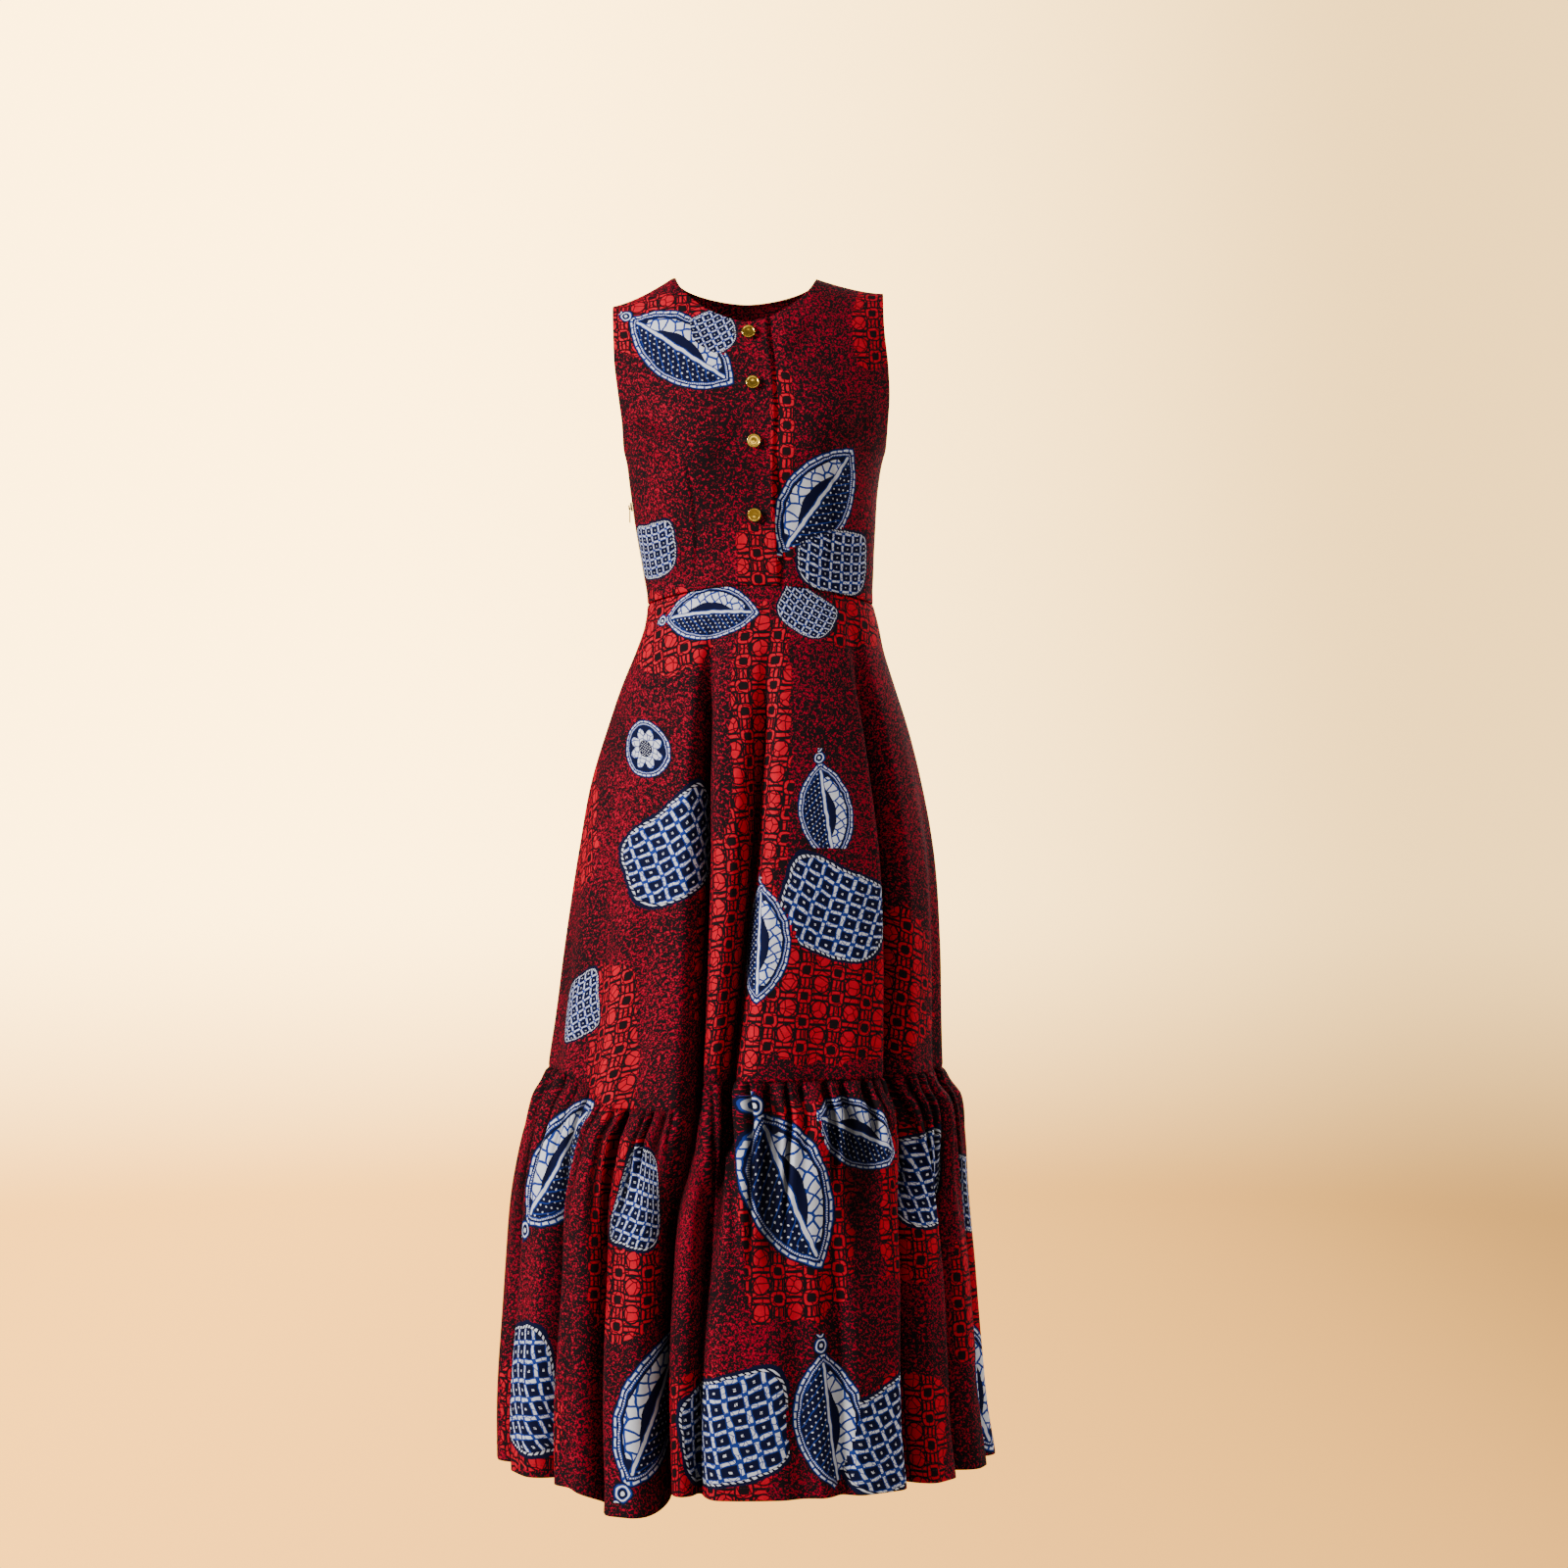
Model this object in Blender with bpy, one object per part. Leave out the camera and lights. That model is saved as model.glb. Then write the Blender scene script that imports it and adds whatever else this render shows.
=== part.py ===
"""A sleeveless ankle-length dress: buttoned bodice, flared skirt and gathered flounce.

Metres, +Z up. The origin is midway between the two shoulder seams, at their mean height.
The front faces -Y. Angles run round the body in degrees: 0 is the centre front, 90 the wearer's
left side seam (+X), 180 the centre back and -90 the wearer's right side seam.
"""

import math
from collections import namedtuple

import bmesh
import bpy
import numpy as np
from mathutils import Matrix, Vector

# Cloth and seams
WALL = 0.0013
SEAM_GAP = 0.0003
HALF_GAP = SEAM_GAP / 2

# Neck, shoulders and armholes
NECK_CENTRE = -0.0047
NECK_HALF = 0.0744
NECK_TOP = 0.006
FRONT_NECK = -0.051
BACK_NECK = -0.012
NECK_ROUND = 1.6
SHOULDER_LENGTH = 0.069
SHOULDER_EASE = 1.5
TIP_ANGLE = 58.5
UNDERARM_HEIGHT = -0.176
ARMHOLE_SWEEP = 1.2
ROLL_HEIGHT = 0.078
ROLL_ROUND = 2.2

# Bodice shape
SQUARENESS = 0.87
BUST_RISE = 0.011
BUST_OUT = 0.078
BUST_WIDTH = 0.044
BUST_HEIGHT = -0.180
BUST_TALL = 0.058

# Waist seam, flounce seam and hem
WAIST_SIDE = -0.3395
WAIST_FRONT_RISE = 0.0149
WAIST_BACK_RISE = 0.004
SEAM_HEIGHT = -0.8285
HEM_HEIGHT = -1.2365

SKIRT_ENDS = (WAIST_SIDE + WAIST_FRONT_RISE, SEAM_HEIGHT)
FLOUNCE_ENDS = (SEAM_HEIGHT, HEM_HEIGHT)

# Button closing: the wearer's right front laps over the left
LAP_EDGE = 0.0205
LAP_UNDER = 0.017
LAP_EASE = 0.016
LAP_GAP = 0.0008
BUTTON_HEIGHTS = (-0.0635, -0.1175, -0.1780, -0.2525)

# Side zip
SLIDER_HEIGHT = -0.236

# Gathers of the flounce; each takes two mesh columns
GATHERS = 80
GATHER_DEPTH = 0.0034
GATHER_FADE = 0.150
FOLD_CHANGE = 0.40

Section = namedtuple("Section", "height half_width front back shift")

TORSO = (
    Section(height=0.015, half_width=0.1685, front=0.080, back=0.080, shift=-0.0031),
    Section(height=0.000, half_width=0.1683, front=0.080, back=0.084, shift=-0.0031),
    Section(height=-0.052, half_width=0.1666, front=0.085, back=0.093, shift=-0.0020),
    Section(height=-0.094, half_width=0.1640, front=0.095, back=0.098, shift=0.0010),
    Section(height=-0.125, half_width=0.1572, front=0.103, back=0.098, shift=0.0036),
    Section(height=-0.156, half_width=0.1465, front=0.110, back=0.095, shift=0.0047),
    Section(height=-0.187, half_width=0.1363, front=0.110, back=0.091, shift=0.0042),
    Section(height=-0.218, half_width=0.1316, front=0.104, back=0.087, shift=0.0036),
    Section(height=-0.260, half_width=0.1269, front=0.096, back=0.083, shift=0.0052),
    Section(height=-0.302, half_width=0.1222, front=0.090, back=0.081, shift=0.0078),
    Section(height=-0.338, half_width=0.1196, front=0.088, back=0.081, shift=0.0104),
    Section(height=-0.364, half_width=0.1243, front=0.092, back=0.086, shift=0.0119),
)

SKIRT = (
    Section(height=-0.302, half_width=0.1222, front=0.0900, back=0.0810, shift=0.0078),
    Section(height=-0.338, half_width=0.1196, front=0.0880, back=0.0810, shift=0.0104),
    Section(height=-0.364, half_width=0.1243, front=0.0940, back=0.0900, shift=0.0119),
    Section(height=-0.385, half_width=0.1300, front=0.1010, back=0.0990, shift=0.0104),
    Section(height=-0.426, half_width=0.1446, front=0.1140, back=0.1160, shift=0.0083),
    Section(height=-0.468, half_width=0.1586, front=0.1260, back=0.1320, shift=0.0078),
    Section(height=-0.530, half_width=0.1758, front=0.1410, back=0.1500, shift=0.0062),
    Section(height=-0.593, half_width=0.1872, front=0.1540, back=0.1630, shift=0.0062),
    Section(height=-0.697, half_width=0.1986, front=0.1710, back=0.1780, shift=0.0021),
    Section(height=-0.780, half_width=0.2044, front=0.1820, back=0.1870, shift=-0.0026),
    Section(height=-0.822, half_width=0.2080, front=0.1870, back=0.1910, shift=-0.0052),
    Section(height=-0.880, half_width=0.2130, front=0.1910, back=0.1950, shift=-0.0056),
)

FLOUNCE = (
    Section(height=-0.800, half_width=0.2060, front=0.1845, back=0.1890, shift=-0.0040),
    Section(height=-0.828, half_width=0.2090, front=0.1880, back=0.1920, shift=-0.0052),
    Section(height=-0.863, half_width=0.2240, front=0.2000, back=0.2020, shift=-0.0042),
    Section(height=-0.905, half_width=0.2330, front=0.2100, back=0.2110, shift=-0.0073),
    Section(height=-0.946, half_width=0.2387, front=0.2160, back=0.2170, shift=-0.0099),
    Section(height=-1.030, half_width=0.2480, front=0.2250, back=0.2270, shift=-0.0099),
    Section(height=-1.113, half_width=0.2543, front=0.2320, back=0.2340, shift=-0.0099),
    Section(height=-1.196, half_width=0.2600, front=0.2370, back=0.2390, shift=-0.0083),
    Section(height=-1.237, half_width=0.2636, front=0.2390, back=0.2420, shift=-0.0057),
    Section(height=-1.280, half_width=0.2660, front=0.2400, back=0.2440, shift=-0.0050),
)

# A fold is a straight valley between two rounded ridges. Its angles are where it leaves the upper
# edge and where it meets the lower one; before and after are its widths either side and hang is
# how far the ridges lean over it, all in degrees; it begins at the share start of the way down
# and has its whole depth at the share full.
Fold = namedtuple("Fold", "top_angle low_angle depth before after hang start full")

SKIRT_FOLDS = (
    Fold(top_angle=-82, low_angle=-74, depth=0.005, before=11, after=11, hang=0.0, start=0.30, full=1.0),
    Fold(top_angle=-55, low_angle=-53, depth=0.008, before=12, after=12, hang=0.0, start=0.30, full=1.0),
    Fold(top_angle=-25, low_angle=-14, depth=0.034, before=6, after=7, hang=0.5, start=0.00, full=0.55),
    Fold(top_angle=7, low_angle=-3.5, depth=0.032, before=7, after=6.5, hang=0.5, start=0.03, full=0.70),
    Fold(top_angle=26, low_angle=22, depth=0.004, before=12, after=12, hang=0.0, start=0.20, full=1.0),
    Fold(top_angle=50, low_angle=49, depth=0.032, before=8, after=8.5, hang=0.5, start=0.00, full=0.65),
    Fold(top_angle=76, low_angle=77, depth=0.009, before=9, after=9, hang=0.0, start=0.20, full=1.0),
    Fold(top_angle=106, low_angle=104, depth=0.023, before=9, after=8, hang=0.3, start=0.05, full=0.80),
    Fold(top_angle=133, low_angle=133, depth=0.032, before=7.5, after=8, hang=0.5, start=0.00, full=0.65),
    Fold(top_angle=155, low_angle=156, depth=0.020, before=8, after=8, hang=0.2, start=0.12, full=0.90),
    Fold(top_angle=178, low_angle=-179, depth=0.034, before=7, after=7.5, hang=0.5, start=0.00, full=0.60),
    Fold(top_angle=-158, low_angle=-154, depth=0.022, before=8, after=8, hang=0.2, start=0.10, full=0.90),
    Fold(top_angle=-133, low_angle=-130, depth=0.032, before=8, after=7.5, hang=0.5, start=0.02, full=0.70),
    Fold(top_angle=-106, low_angle=-104, depth=0.018, before=9, after=9, hang=0.2, start=0.10, full=0.90),
)

FLOUNCE_FOLDS = (
    Fold(top_angle=-74, low_angle=-72, depth=0.013, before=7, after=7, hang=0.2, start=0.05, full=0.7),
    Fold(top_angle=-52, low_angle=-51, depth=0.024, before=7, after=6, hang=0.5, start=0.00, full=0.5),
    Fold(top_angle=-37, low_angle=-35, depth=0.019, before=5, after=5, hang=0.5, start=0.00, full=0.5),
    Fold(top_angle=-17, low_angle=-19, depth=0.034, before=7, after=6.5, hang=0.3, start=0.00, full=0.4),
    Fold(top_angle=-6, low_angle=-10.5, depth=0.021, before=4.5, after=5.5, hang=0.4, start=0.00, full=0.4),
    Fold(top_angle=13, low_angle=14, depth=0.005, before=6, after=6, hang=0.0, start=0.00, full=0.8),
    Fold(top_angle=23, low_angle=23, depth=0.010, before=6, after=5, hang=0.2, start=0.05, full=0.8),
    Fold(top_angle=47, low_angle=43, depth=0.033, before=6.5, after=6.5, hang=0.3, start=0.00, full=0.4),
    Fold(top_angle=63, low_angle=61.5, depth=0.022, before=7, after=7, hang=0.5, start=0.00, full=0.5),
    Fold(top_angle=80, low_angle=79, depth=0.016, before=7, after=7, hang=0.2, start=0.05, full=0.7),
    Fold(top_angle=103, low_angle=102, depth=0.027, before=7, after=7, hang=0.5, start=0.00, full=0.5),
    Fold(top_angle=121, low_angle=122, depth=0.021, before=7, after=7, hang=0.4, start=0.00, full=0.6),
    Fold(top_angle=140, low_angle=142, depth=0.032, before=6.5, after=7, hang=0.6, start=0.00, full=0.4),
    Fold(top_angle=160, low_angle=161, depth=0.019, before=7, after=7, hang=0.3, start=0.00, full=0.6),
    Fold(top_angle=-179, low_angle=-178, depth=0.032, before=7, after=6.5, hang=0.6, start=0.00, full=0.4),
    Fold(top_angle=-160, low_angle=-158, depth=0.021, before=7, after=7, hang=0.3, start=0.00, full=0.6),
    Fold(top_angle=-140, low_angle=-138, depth=0.029, before=7, after=7, hang=0.5, start=0.00, full=0.5),
    Fold(top_angle=-120, low_angle=-118, depth=0.019, before=7, after=7, hang=0.3, start=0.00, full=0.6),
    Fold(top_angle=-100, low_angle=-98, depth=0.024, before=7, after=7, hang=0.5, start=0.00, full=0.5),
)

# Where an edge hangs lower: it falls from start to full_start and rises from full_end to end
Dip = namedtuple("Dip", "start full_start full_end end drop")
SEAM_DIP = Dip(start=-66, full_start=-38, full_end=-23, end=-6, drop=0.031)
HEM_DIP = Dip(start=-42, full_start=-33, full_end=-24, end=-16, drop=0.022)

Shoulder = namedtuple("Shoulder", "side drop")
RIGHT_SHOULDER = Shoulder(side=-1, drop=0.030)
LEFT_SHOULDER = Shoulder(side=1, drop=0.0155)

# Button, zip slider and zip pull, in metres from their own centres
Ring = namedtuple("Ring", "radius height")
BUTTON_RINGS = (
    Ring(radius=0.0018, height=0.0000),
    Ring(radius=0.0020, height=0.0011),
    Ring(radius=0.0056, height=0.0019),
    Ring(radius=0.0066, height=0.0028),
    Ring(radius=0.0063, height=0.0036),
    Ring(radius=0.0056, height=0.0038),
    Ring(radius=0.0047, height=0.0032),
    Ring(radius=0.0040, height=0.0031),
    Ring(radius=0.0020, height=0.0024),
)
BUTTON_SIDES = 14
SLIDER_LENGTH = 0.009
SLIDER_WIDTH = 0.005
SLIDER_THICK = 0.0016
CROWN_HALF_WINDOW = 0.0013
CROWN_BAR = 0.0008
CROWN_INSIDE = 0.0017
CROWN_WIDTH = 0.0014
PULL_THICK = 0.0010
PULL_BAR = 0.0009
PULL_SLOT_HALF = 0.0011
PULL_SLOT_END = 0.0034
PULL_ARM = 0.0010
PULL_LENGTH = 0.0165
PULL_ROUND = 0.0027

CLOTH_COLOUR = (0.28, 0.012, 0.022, 1.0)
GOLD_COLOUR = (0.83, 0.62, 0.16, 1.0)
ZIP_COLOUR = (0.035, 0.033, 0.035, 1.0)


def ease(share):
    """0 to 1 with a level start and end."""
    share = np.clip(share, 0.0, 1.0)
    return share * share * (3.0 - 2.0 * share)


def read(table, column, height):
    """A table's column at a height, on a smooth curve through its rows."""
    heights = np.array([row.height for row in table])[::-1]
    values = np.array([getattr(row, column) for row in table])[::-1]
    slopes = np.gradient(values, heights)
    place = np.clip(height, heights[0], heights[-1])
    i = np.clip(np.searchsorted(heights, place) - 1, 0, len(heights) - 2)
    span = heights[i + 1] - heights[i]
    t = (place - heights[i]) / span
    low = (1 + 2 * t) * (1 - t) ** 2 * values[i] + t * (1 - t) ** 2 * span * slopes[i]
    high = t * t * (3 - 2 * t) * values[i + 1] + t * t * (t - 1) * span * slopes[i + 1]
    return low + high


def turn_between(angle, centre):
    """The signed difference of two angles, from -180 to 180."""
    return (angle - centre + 180.0) % 360.0 - 180.0


def waist_height(angle):
    """The waist seam, a little higher at the centre front than at the sides."""
    forward = np.cos(np.radians(angle))
    rise = np.where(forward > 0, WAIST_FRONT_RISE, WAIST_BACK_RISE)
    return WAIST_SIDE + rise * forward**2


def dip_at(dip, angle):
    """How far an edge is lowered at an angle."""
    fall = ease((turn_between(angle, 0.0) - dip.start) / (dip.full_start - dip.start))
    rise = ease((turn_between(angle, 0.0) - dip.full_end) / (dip.end - dip.full_end))
    return dip.drop * fall * (1 - rise)


def seam_height(angle):
    """The flounce seam, lower on the gore that hangs lowest."""
    return SEAM_HEIGHT - dip_at(SEAM_DIP, angle)


def hem_height(angle):
    """The hem, lower on the flounce's lowest lobe."""
    return HEM_HEIGHT - dip_at(HEM_DIP, angle)


def shoulder_drop(x):
    """How far the shoulder line lies below its neck end at a sideways place."""
    drop = np.where(x < NECK_CENTRE, RIGHT_SHOULDER.drop, LEFT_SHOULDER.drop)
    share = np.clip((np.abs(x - NECK_CENTRE) - NECK_HALF) / SHOULDER_LENGTH, 0.0, 1.6)
    inside = np.clip(1 - share, 0.0, 1.0)
    return drop * (1 - inside**SHOULDER_EASE)


def torso_point(angle, height):
    """A point of the bodice's outer face: an oval that rolls over to the shoulder line."""
    a = np.radians(angle)
    x = read(TORSO, "half_width", height) * np.sin(a)
    forward = np.cos(a)
    depth = np.where(forward > 0, read(TORSO, "front", height), read(TORSO, "back", height))
    below = np.clip((NECK_TOP - shoulder_drop(x) - height) / ROLL_HEIGHT, 0.0, 1.0)
    roll = (1 - (1 - below) ** ROLL_ROUND) ** (1 / ROLL_ROUND)
    y = -np.sign(forward) * depth * np.abs(forward) ** SQUARENESS * roll
    across = (np.abs(x) - BUST_OUT) / BUST_WIDTH
    up = (height - BUST_HEIGHT) / BUST_TALL
    y = y - BUST_RISE * np.exp(-(across**2) - up**2) * (forward > 0) * np.abs(forward)
    return np.array([x + read(TORSO, "shift", height), y, height + 0 * x])


def depth_at(table, forward, height):
    """The half depth of a table's oval, front or back."""
    return np.where(forward > 0, read(table, "front", height), read(table, "back", height))


def oval(table, angle, height):
    """The sideways and the forward place of a table's oval at an angle."""
    a = np.radians(angle)
    forward = np.cos(a)
    deep = depth_at(table, forward, height)
    return read(table, "half_width", height) * np.sin(a), deep * forward


def fold_centre(fold, table, ends, height):
    """The angle of a fold's valley, which runs straight between the ends' heights."""
    down = np.clip((ends[0] - height) / (ends[0] - ends[1]), 0.0, 1.0)
    top = oval(table, fold.top_angle, ends[0])
    low = oval(table, fold.low_angle, ends[1])
    side = (top[0] + (low[0] - top[0]) * down) / read(table, "half_width", height)
    forward = top[1] + (low[1] - top[1]) * down
    return np.degrees(np.arctan2(side, forward / depth_at(table, forward, height)))


def fold_effect(folds, table, ends, angle, height):
    """(turn in degrees, depth) that the folds give; ends are the heights they run between."""
    turn = 0.0 * angle
    depth = 0.0 * angle
    down = np.clip((ends[0] - height) / (ends[0] - ends[1]), 0.0, 1.0)
    for fold in folds:
        grown = ease((down - fold.start) / (fold.full - fold.start))
        away = turn_between(angle, fold_centre(fold, table, ends, height))
        share = np.clip(away / np.where(away < 0, fold.before, fold.after), -1.0, 1.0)
        depth = depth + fold.depth * grown * (1 + np.cos(math.pi * share)) / 2
        turn = turn - fold.hang * grown * np.sin(math.pi * share)
    return turn, depth


def oval_point(table, angle, height, turn, depth):
    """A point of a skirt tier: an oval of the table's sizes, turned and moved in by its folds."""
    side, forward = oval(table, angle + turn, height)
    half = read(table, "half_width", height)
    deep = depth_at(table, forward, height)
    out = np.array([side / half**2, -forward / deep**2])
    out = out / np.linalg.norm(out, axis=0)
    x = read(table, "shift", height) + side - depth * out[0]
    return np.array([x, -forward - depth * out[1], height + 0 * x])


def skirt_point(angle, height):
    """A point of the skirt's outer face."""
    turn, depth = fold_effect(SKIRT_FOLDS, SKIRT, SKIRT_ENDS, angle, height)
    return oval_point(SKIRT, angle, height, turn, depth)


def flounce_point(angle, height):
    """A point of the flounce's outer face, without its gathers."""
    top = seam_height(angle)
    taken = ease((top - height) / (FOLD_CHANGE * (SEAM_HEIGHT - HEM_HEIGHT)))
    held = np.maximum(height, top)
    skirt_turn, skirt_depth = fold_effect(SKIRT_FOLDS, SKIRT, SKIRT_ENDS, angle, held)
    turn, depth = fold_effect(FLOUNCE_FOLDS, FLOUNCE, FLOUNCE_ENDS, angle, height)
    turn = skirt_turn * (1 - taken) + turn * taken
    depth = skirt_depth * (1 - taken) + depth * taken
    upper = oval_point(SKIRT, angle, height, turn, depth)
    lower = oval_point(FLOUNCE, angle, height, turn, depth)
    blend = ease((top - height) / 0.03)
    return upper * (1 - blend) + lower * blend


def outward(surface, angle, height, level):
    """The unit normals of a surface; level ones have no upward part."""
    step_angle, step_height = 0.05, 0.0002
    round_it = surface(angle + step_angle, height) - surface(angle - step_angle, height)
    up_it = surface(angle, height + step_height) - surface(angle, height - step_height)
    normal = np.cross(round_it, up_it, axis=0)
    if level:
        normal[2] = 0.0
    return normal / np.linalg.norm(normal, axis=0)


def add_object(name, mesh, material):
    """A named object for a mesh, shaded smooth up to sharp edges."""
    made = bpy.data.objects.new(name, mesh)
    bpy.context.scene.collection.objects.link(made)
    mesh.materials.append(material)
    mesh.shade_smooth()
    mesh.set_sharp_from_angle(angle=math.radians(40))
    return made


def wall_panel(name, outer, inner, material):
    """A cloth panel from two grids of points, rows by columns, closed round its four edges."""
    rows, columns = outer.shape[:2]
    bm = bmesh.new()
    verts = [[[bm.verts.new(p) for p in row] for row in grid] for grid in (outer, inner)]
    for j in range(rows - 1):
        for i in range(columns - 1):
            places = [(j, i), (j, i + 1), (j + 1, i + 1), (j + 1, i)]
            p = [outer[place] for place in places]
            if np.linalg.norm(p[0] - p[2]) > np.linalg.norm(p[1] - p[3]):
                places = places[1:] + places[:1]
            for grid in verts:
                a, b, c, d = [grid[y][x] for y, x in places]
                bm.faces.new((a, b, c) if grid is verts[0] else (a, c, b))
                bm.faces.new((a, c, d) if grid is verts[0] else (a, d, c))
    border = [(0, i) for i in range(columns - 1)]
    border += [(j, columns - 1) for j in range(rows - 1)]
    border += [(rows - 1, i) for i in range(columns - 1, 0, -1)]
    border += [(j, 0) for j in range(rows - 1, 0, -1)]
    for here, there in zip(border, border[1:] + border[:1]):
        a, b = verts[0][here[0]][here[1]], verts[0][there[0]][there[1]]
        c, d = verts[1][there[0]][there[1]], verts[1][here[0]][here[1]]
        bm.faces.new((a, d, c))
        bm.faces.new((a, c, b))
    bmesh.ops.recalc_face_normals(bm, faces=bm.faces)
    mesh = bpy.data.meshes.new(name)
    bm.to_mesh(mesh)
    bm.free()
    return add_object(name, mesh, material)


def armhole_place(share, shoulder):
    """(angle from the centre, height) on an armhole, from the shoulder tip to the underarm."""
    turn = share * math.pi / 2
    tip = NECK_TOP - shoulder.drop
    height = tip + (UNDERARM_HEIGHT - tip) * math.sin(turn)
    return TIP_ANGLE + (90.0 - TIP_ANGLE) * (1 - math.cos(turn)) ** ARMHOLE_SWEEP, height


def angle_at(x, height):
    """The angle on the bodice whose sideways place is x, measured from the centre line."""
    return math.degrees(math.asin(x / float(read(TORSO, "half_width", height))))


def neck_height(x, lowest):
    """The height of the neckline at a sideways place."""
    share = min(abs(x - NECK_CENTRE) / NECK_HALF, 1.0)
    return NECK_TOP - (NECK_TOP - lowest) * (1 - share**NECK_ROUND) ** (1 / NECK_ROUND)


def top_edge(shoulder, edge, lowest, counts):
    """(angle, height) places along a half bodice's top: neckline, shoulder seam, then armhole.

    edge is the sideways place where the neckline starts, measured from the centre towards this
    half's own side. Angles grow towards this half's side seam.
    """
    neck_columns, shoulder_columns, arm_columns = counts
    places = []
    shift = float(read(TORSO, "shift", 0.0))
    reach = NECK_HALF + shoulder.side * (NECK_CENTRE - shift)
    for k in range(neck_columns):
        out = edge + (reach - edge) * (k / neck_columns) ** 0.85
        height = neck_height(shoulder.side * out + shift, lowest)
        places.append((angle_at(out, height), height))
    neck_end = angle_at(reach, 0.0)
    for k in range(shoulder_columns):
        angle = neck_end + (TIP_ANGLE - neck_end) * k / shoulder_columns
        x = shoulder.side * float(read(TORSO, "half_width", 0.0)) * math.sin(math.radians(angle))
        places.append((angle, NECK_TOP - float(shoulder_drop(x))))
    for k in range(arm_columns + 1):
        places.append(armhole_place(k / arm_columns, shoulder))
    return places


def foot_angles(edge, counts):
    """The angles at the waist of the columns that end on the neck, shoulder and armhole."""
    first = angle_at(edge, WAIST_SIDE)
    stops = (first, 20.0, 40.0, 90.0)
    angles = []
    for low, high, count in zip(stops, stops[1:], counts):
        angles += [low + (high - low) * k / count for k in range(count)]
    return angles + [stops[-1]]


def bodice_grid(shoulder, back, edge, counts, rows, inset):
    """Outer and inner points of half a bodice, from its centre edge to its side seam.

    inset(out) moves the wall in, at a sideways place from the centre line.
    """
    tops = top_edge(shoulder, edge, BACK_NECK if back else FRONT_NECK, counts)
    feet = foot_angles(edge, counts)
    shoulder_first, shoulder_last = counts[0], counts[0] + counts[1]
    columns = len(tops)
    outer, inner = np.zeros((rows + 1, columns, 3)), np.zeros((rows + 1, columns, 3))
    for i, (top_angle, top_height) in enumerate(tops):
        for j in range(rows + 1):
            share = 1 - (1 - j / rows) ** 1.25
            local = feet[i] + (top_angle - feet[i]) * share**1.5
            angle = shoulder.side * local
            if back:
                angle = 180.0 - angle
            low_height = float(waist_height(angle)) + HALF_GAP
            height = low_height + (top_height - low_height) * share
            point = torso_point(angle, height)
            seam_end = j == rows and shoulder_first <= i <= shoulder_last
            if seam_end:
                point[1], normal = 0.0, np.array([0.0, 0.0, 1.0])
            else:
                normal = outward(torso_point, angle, height, level=j == 0)
            point = point - normal * inset(abs_out(local, height))
            point[1] += HALF_GAP if back else -HALF_GAP
            outer[j, i] = point
            inner[j, i] = point - normal * WALL
    return outer, inner


def abs_out(local, height):
    """The sideways place, from the centre line towards the half's own side."""
    return float(read(TORSO, "half_width", height)) * math.sin(math.radians(local))


def under_lap(out):
    """The wearer's left front lies a wall and a gap under the right front's lap."""
    return (WALL + LAP_GAP) * float(ease((LAP_EDGE + LAP_EASE - out) / LAP_EASE))


def no_inset(out):
    """The wall stays on the figure."""
    return 0.0


def make_bodice(material):
    """Two fronts that lap at the buttons, and a back cut in one."""
    half = (7, 5, 7)
    rows = 15
    right = bodice_grid(RIGHT_SHOULDER, False, -LAP_EDGE, half, rows, no_inset)
    wall_panel("front_right", right[0], right[1], material)
    left = bodice_grid(LEFT_SHOULDER, False, -LAP_UNDER, half, rows, under_lap)
    wall_panel("front_left", left[0], left[1], material)
    sides = [bodice_grid(s, True, 0.0, half, rows, no_inset) for s in (LEFT_SHOULDER, RIGHT_SHOULDER)]
    halves = [np.concatenate((sides[0][k][:, ::-1], sides[1][k][:, 1:]), axis=1) for k in (0, 1)]
    wall_panel("back_bodice", halves[0], halves[1], material)


def even_angles(surface, edges, share, first):
    """Angles of half a tier, evenly along its cloth at a share of the way down."""
    fine = np.linspace(first, first + 180.0, 1441)
    high_edge, low_edge = edges(fine)
    points = surface(fine, high_edge + (low_edge - high_edge) * share)
    steps = np.linalg.norm(np.diff(points, axis=1), axis=0)
    run = np.concatenate(([0.0], np.cumsum(steps)))
    return np.interp(np.linspace(0.0, run[-1], GATHERS + 1), run, fine)


def follow_folds(folds, table, ends, low_angles, height):
    """The angles at a height of columns that keep their places on the folds; side seams hang straight."""
    lows = [-90.0, 90.0] + [fold.low_angle for fold in folds]
    moved = [0.0, 0.0]
    for fold in folds:
        moved.append(turn_between(fold_centre(fold, table, ends, height), fold.low_angle))
    return low_angles + np.interp(low_angles, lows, moved, period=360.0)


def base_angles(first):
    """The angles where the mesh columns of both tiers meet at their seam."""
    skirt = even_angles(skirt_point, skirt_edges, 1.0, first)
    flounce = even_angles(flounce_point, flounce_edges, 0.7, first)
    return (skirt + flounce) / 2


def skirt_columns(base, share):
    """The angles of the skirt's mesh columns at a share of the way down."""
    height = SKIRT_ENDS[0] + (SKIRT_ENDS[1] - SKIRT_ENDS[0]) * share
    return follow_folds(SKIRT_FOLDS, SKIRT, SKIRT_ENDS, base, height)


def flounce_columns(base, share):
    """The angles of the flounce's mesh columns: the skirt's at the seam, then on its own folds."""
    height = FLOUNCE_ENDS[0] + (FLOUNCE_ENDS[1] - FLOUNCE_ENDS[0]) * share
    own = follow_folds(FLOUNCE_FOLDS, FLOUNCE, FLOUNCE_ENDS, base, height)
    return base + (own - base) * ease(share / FOLD_CHANGE)


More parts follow.
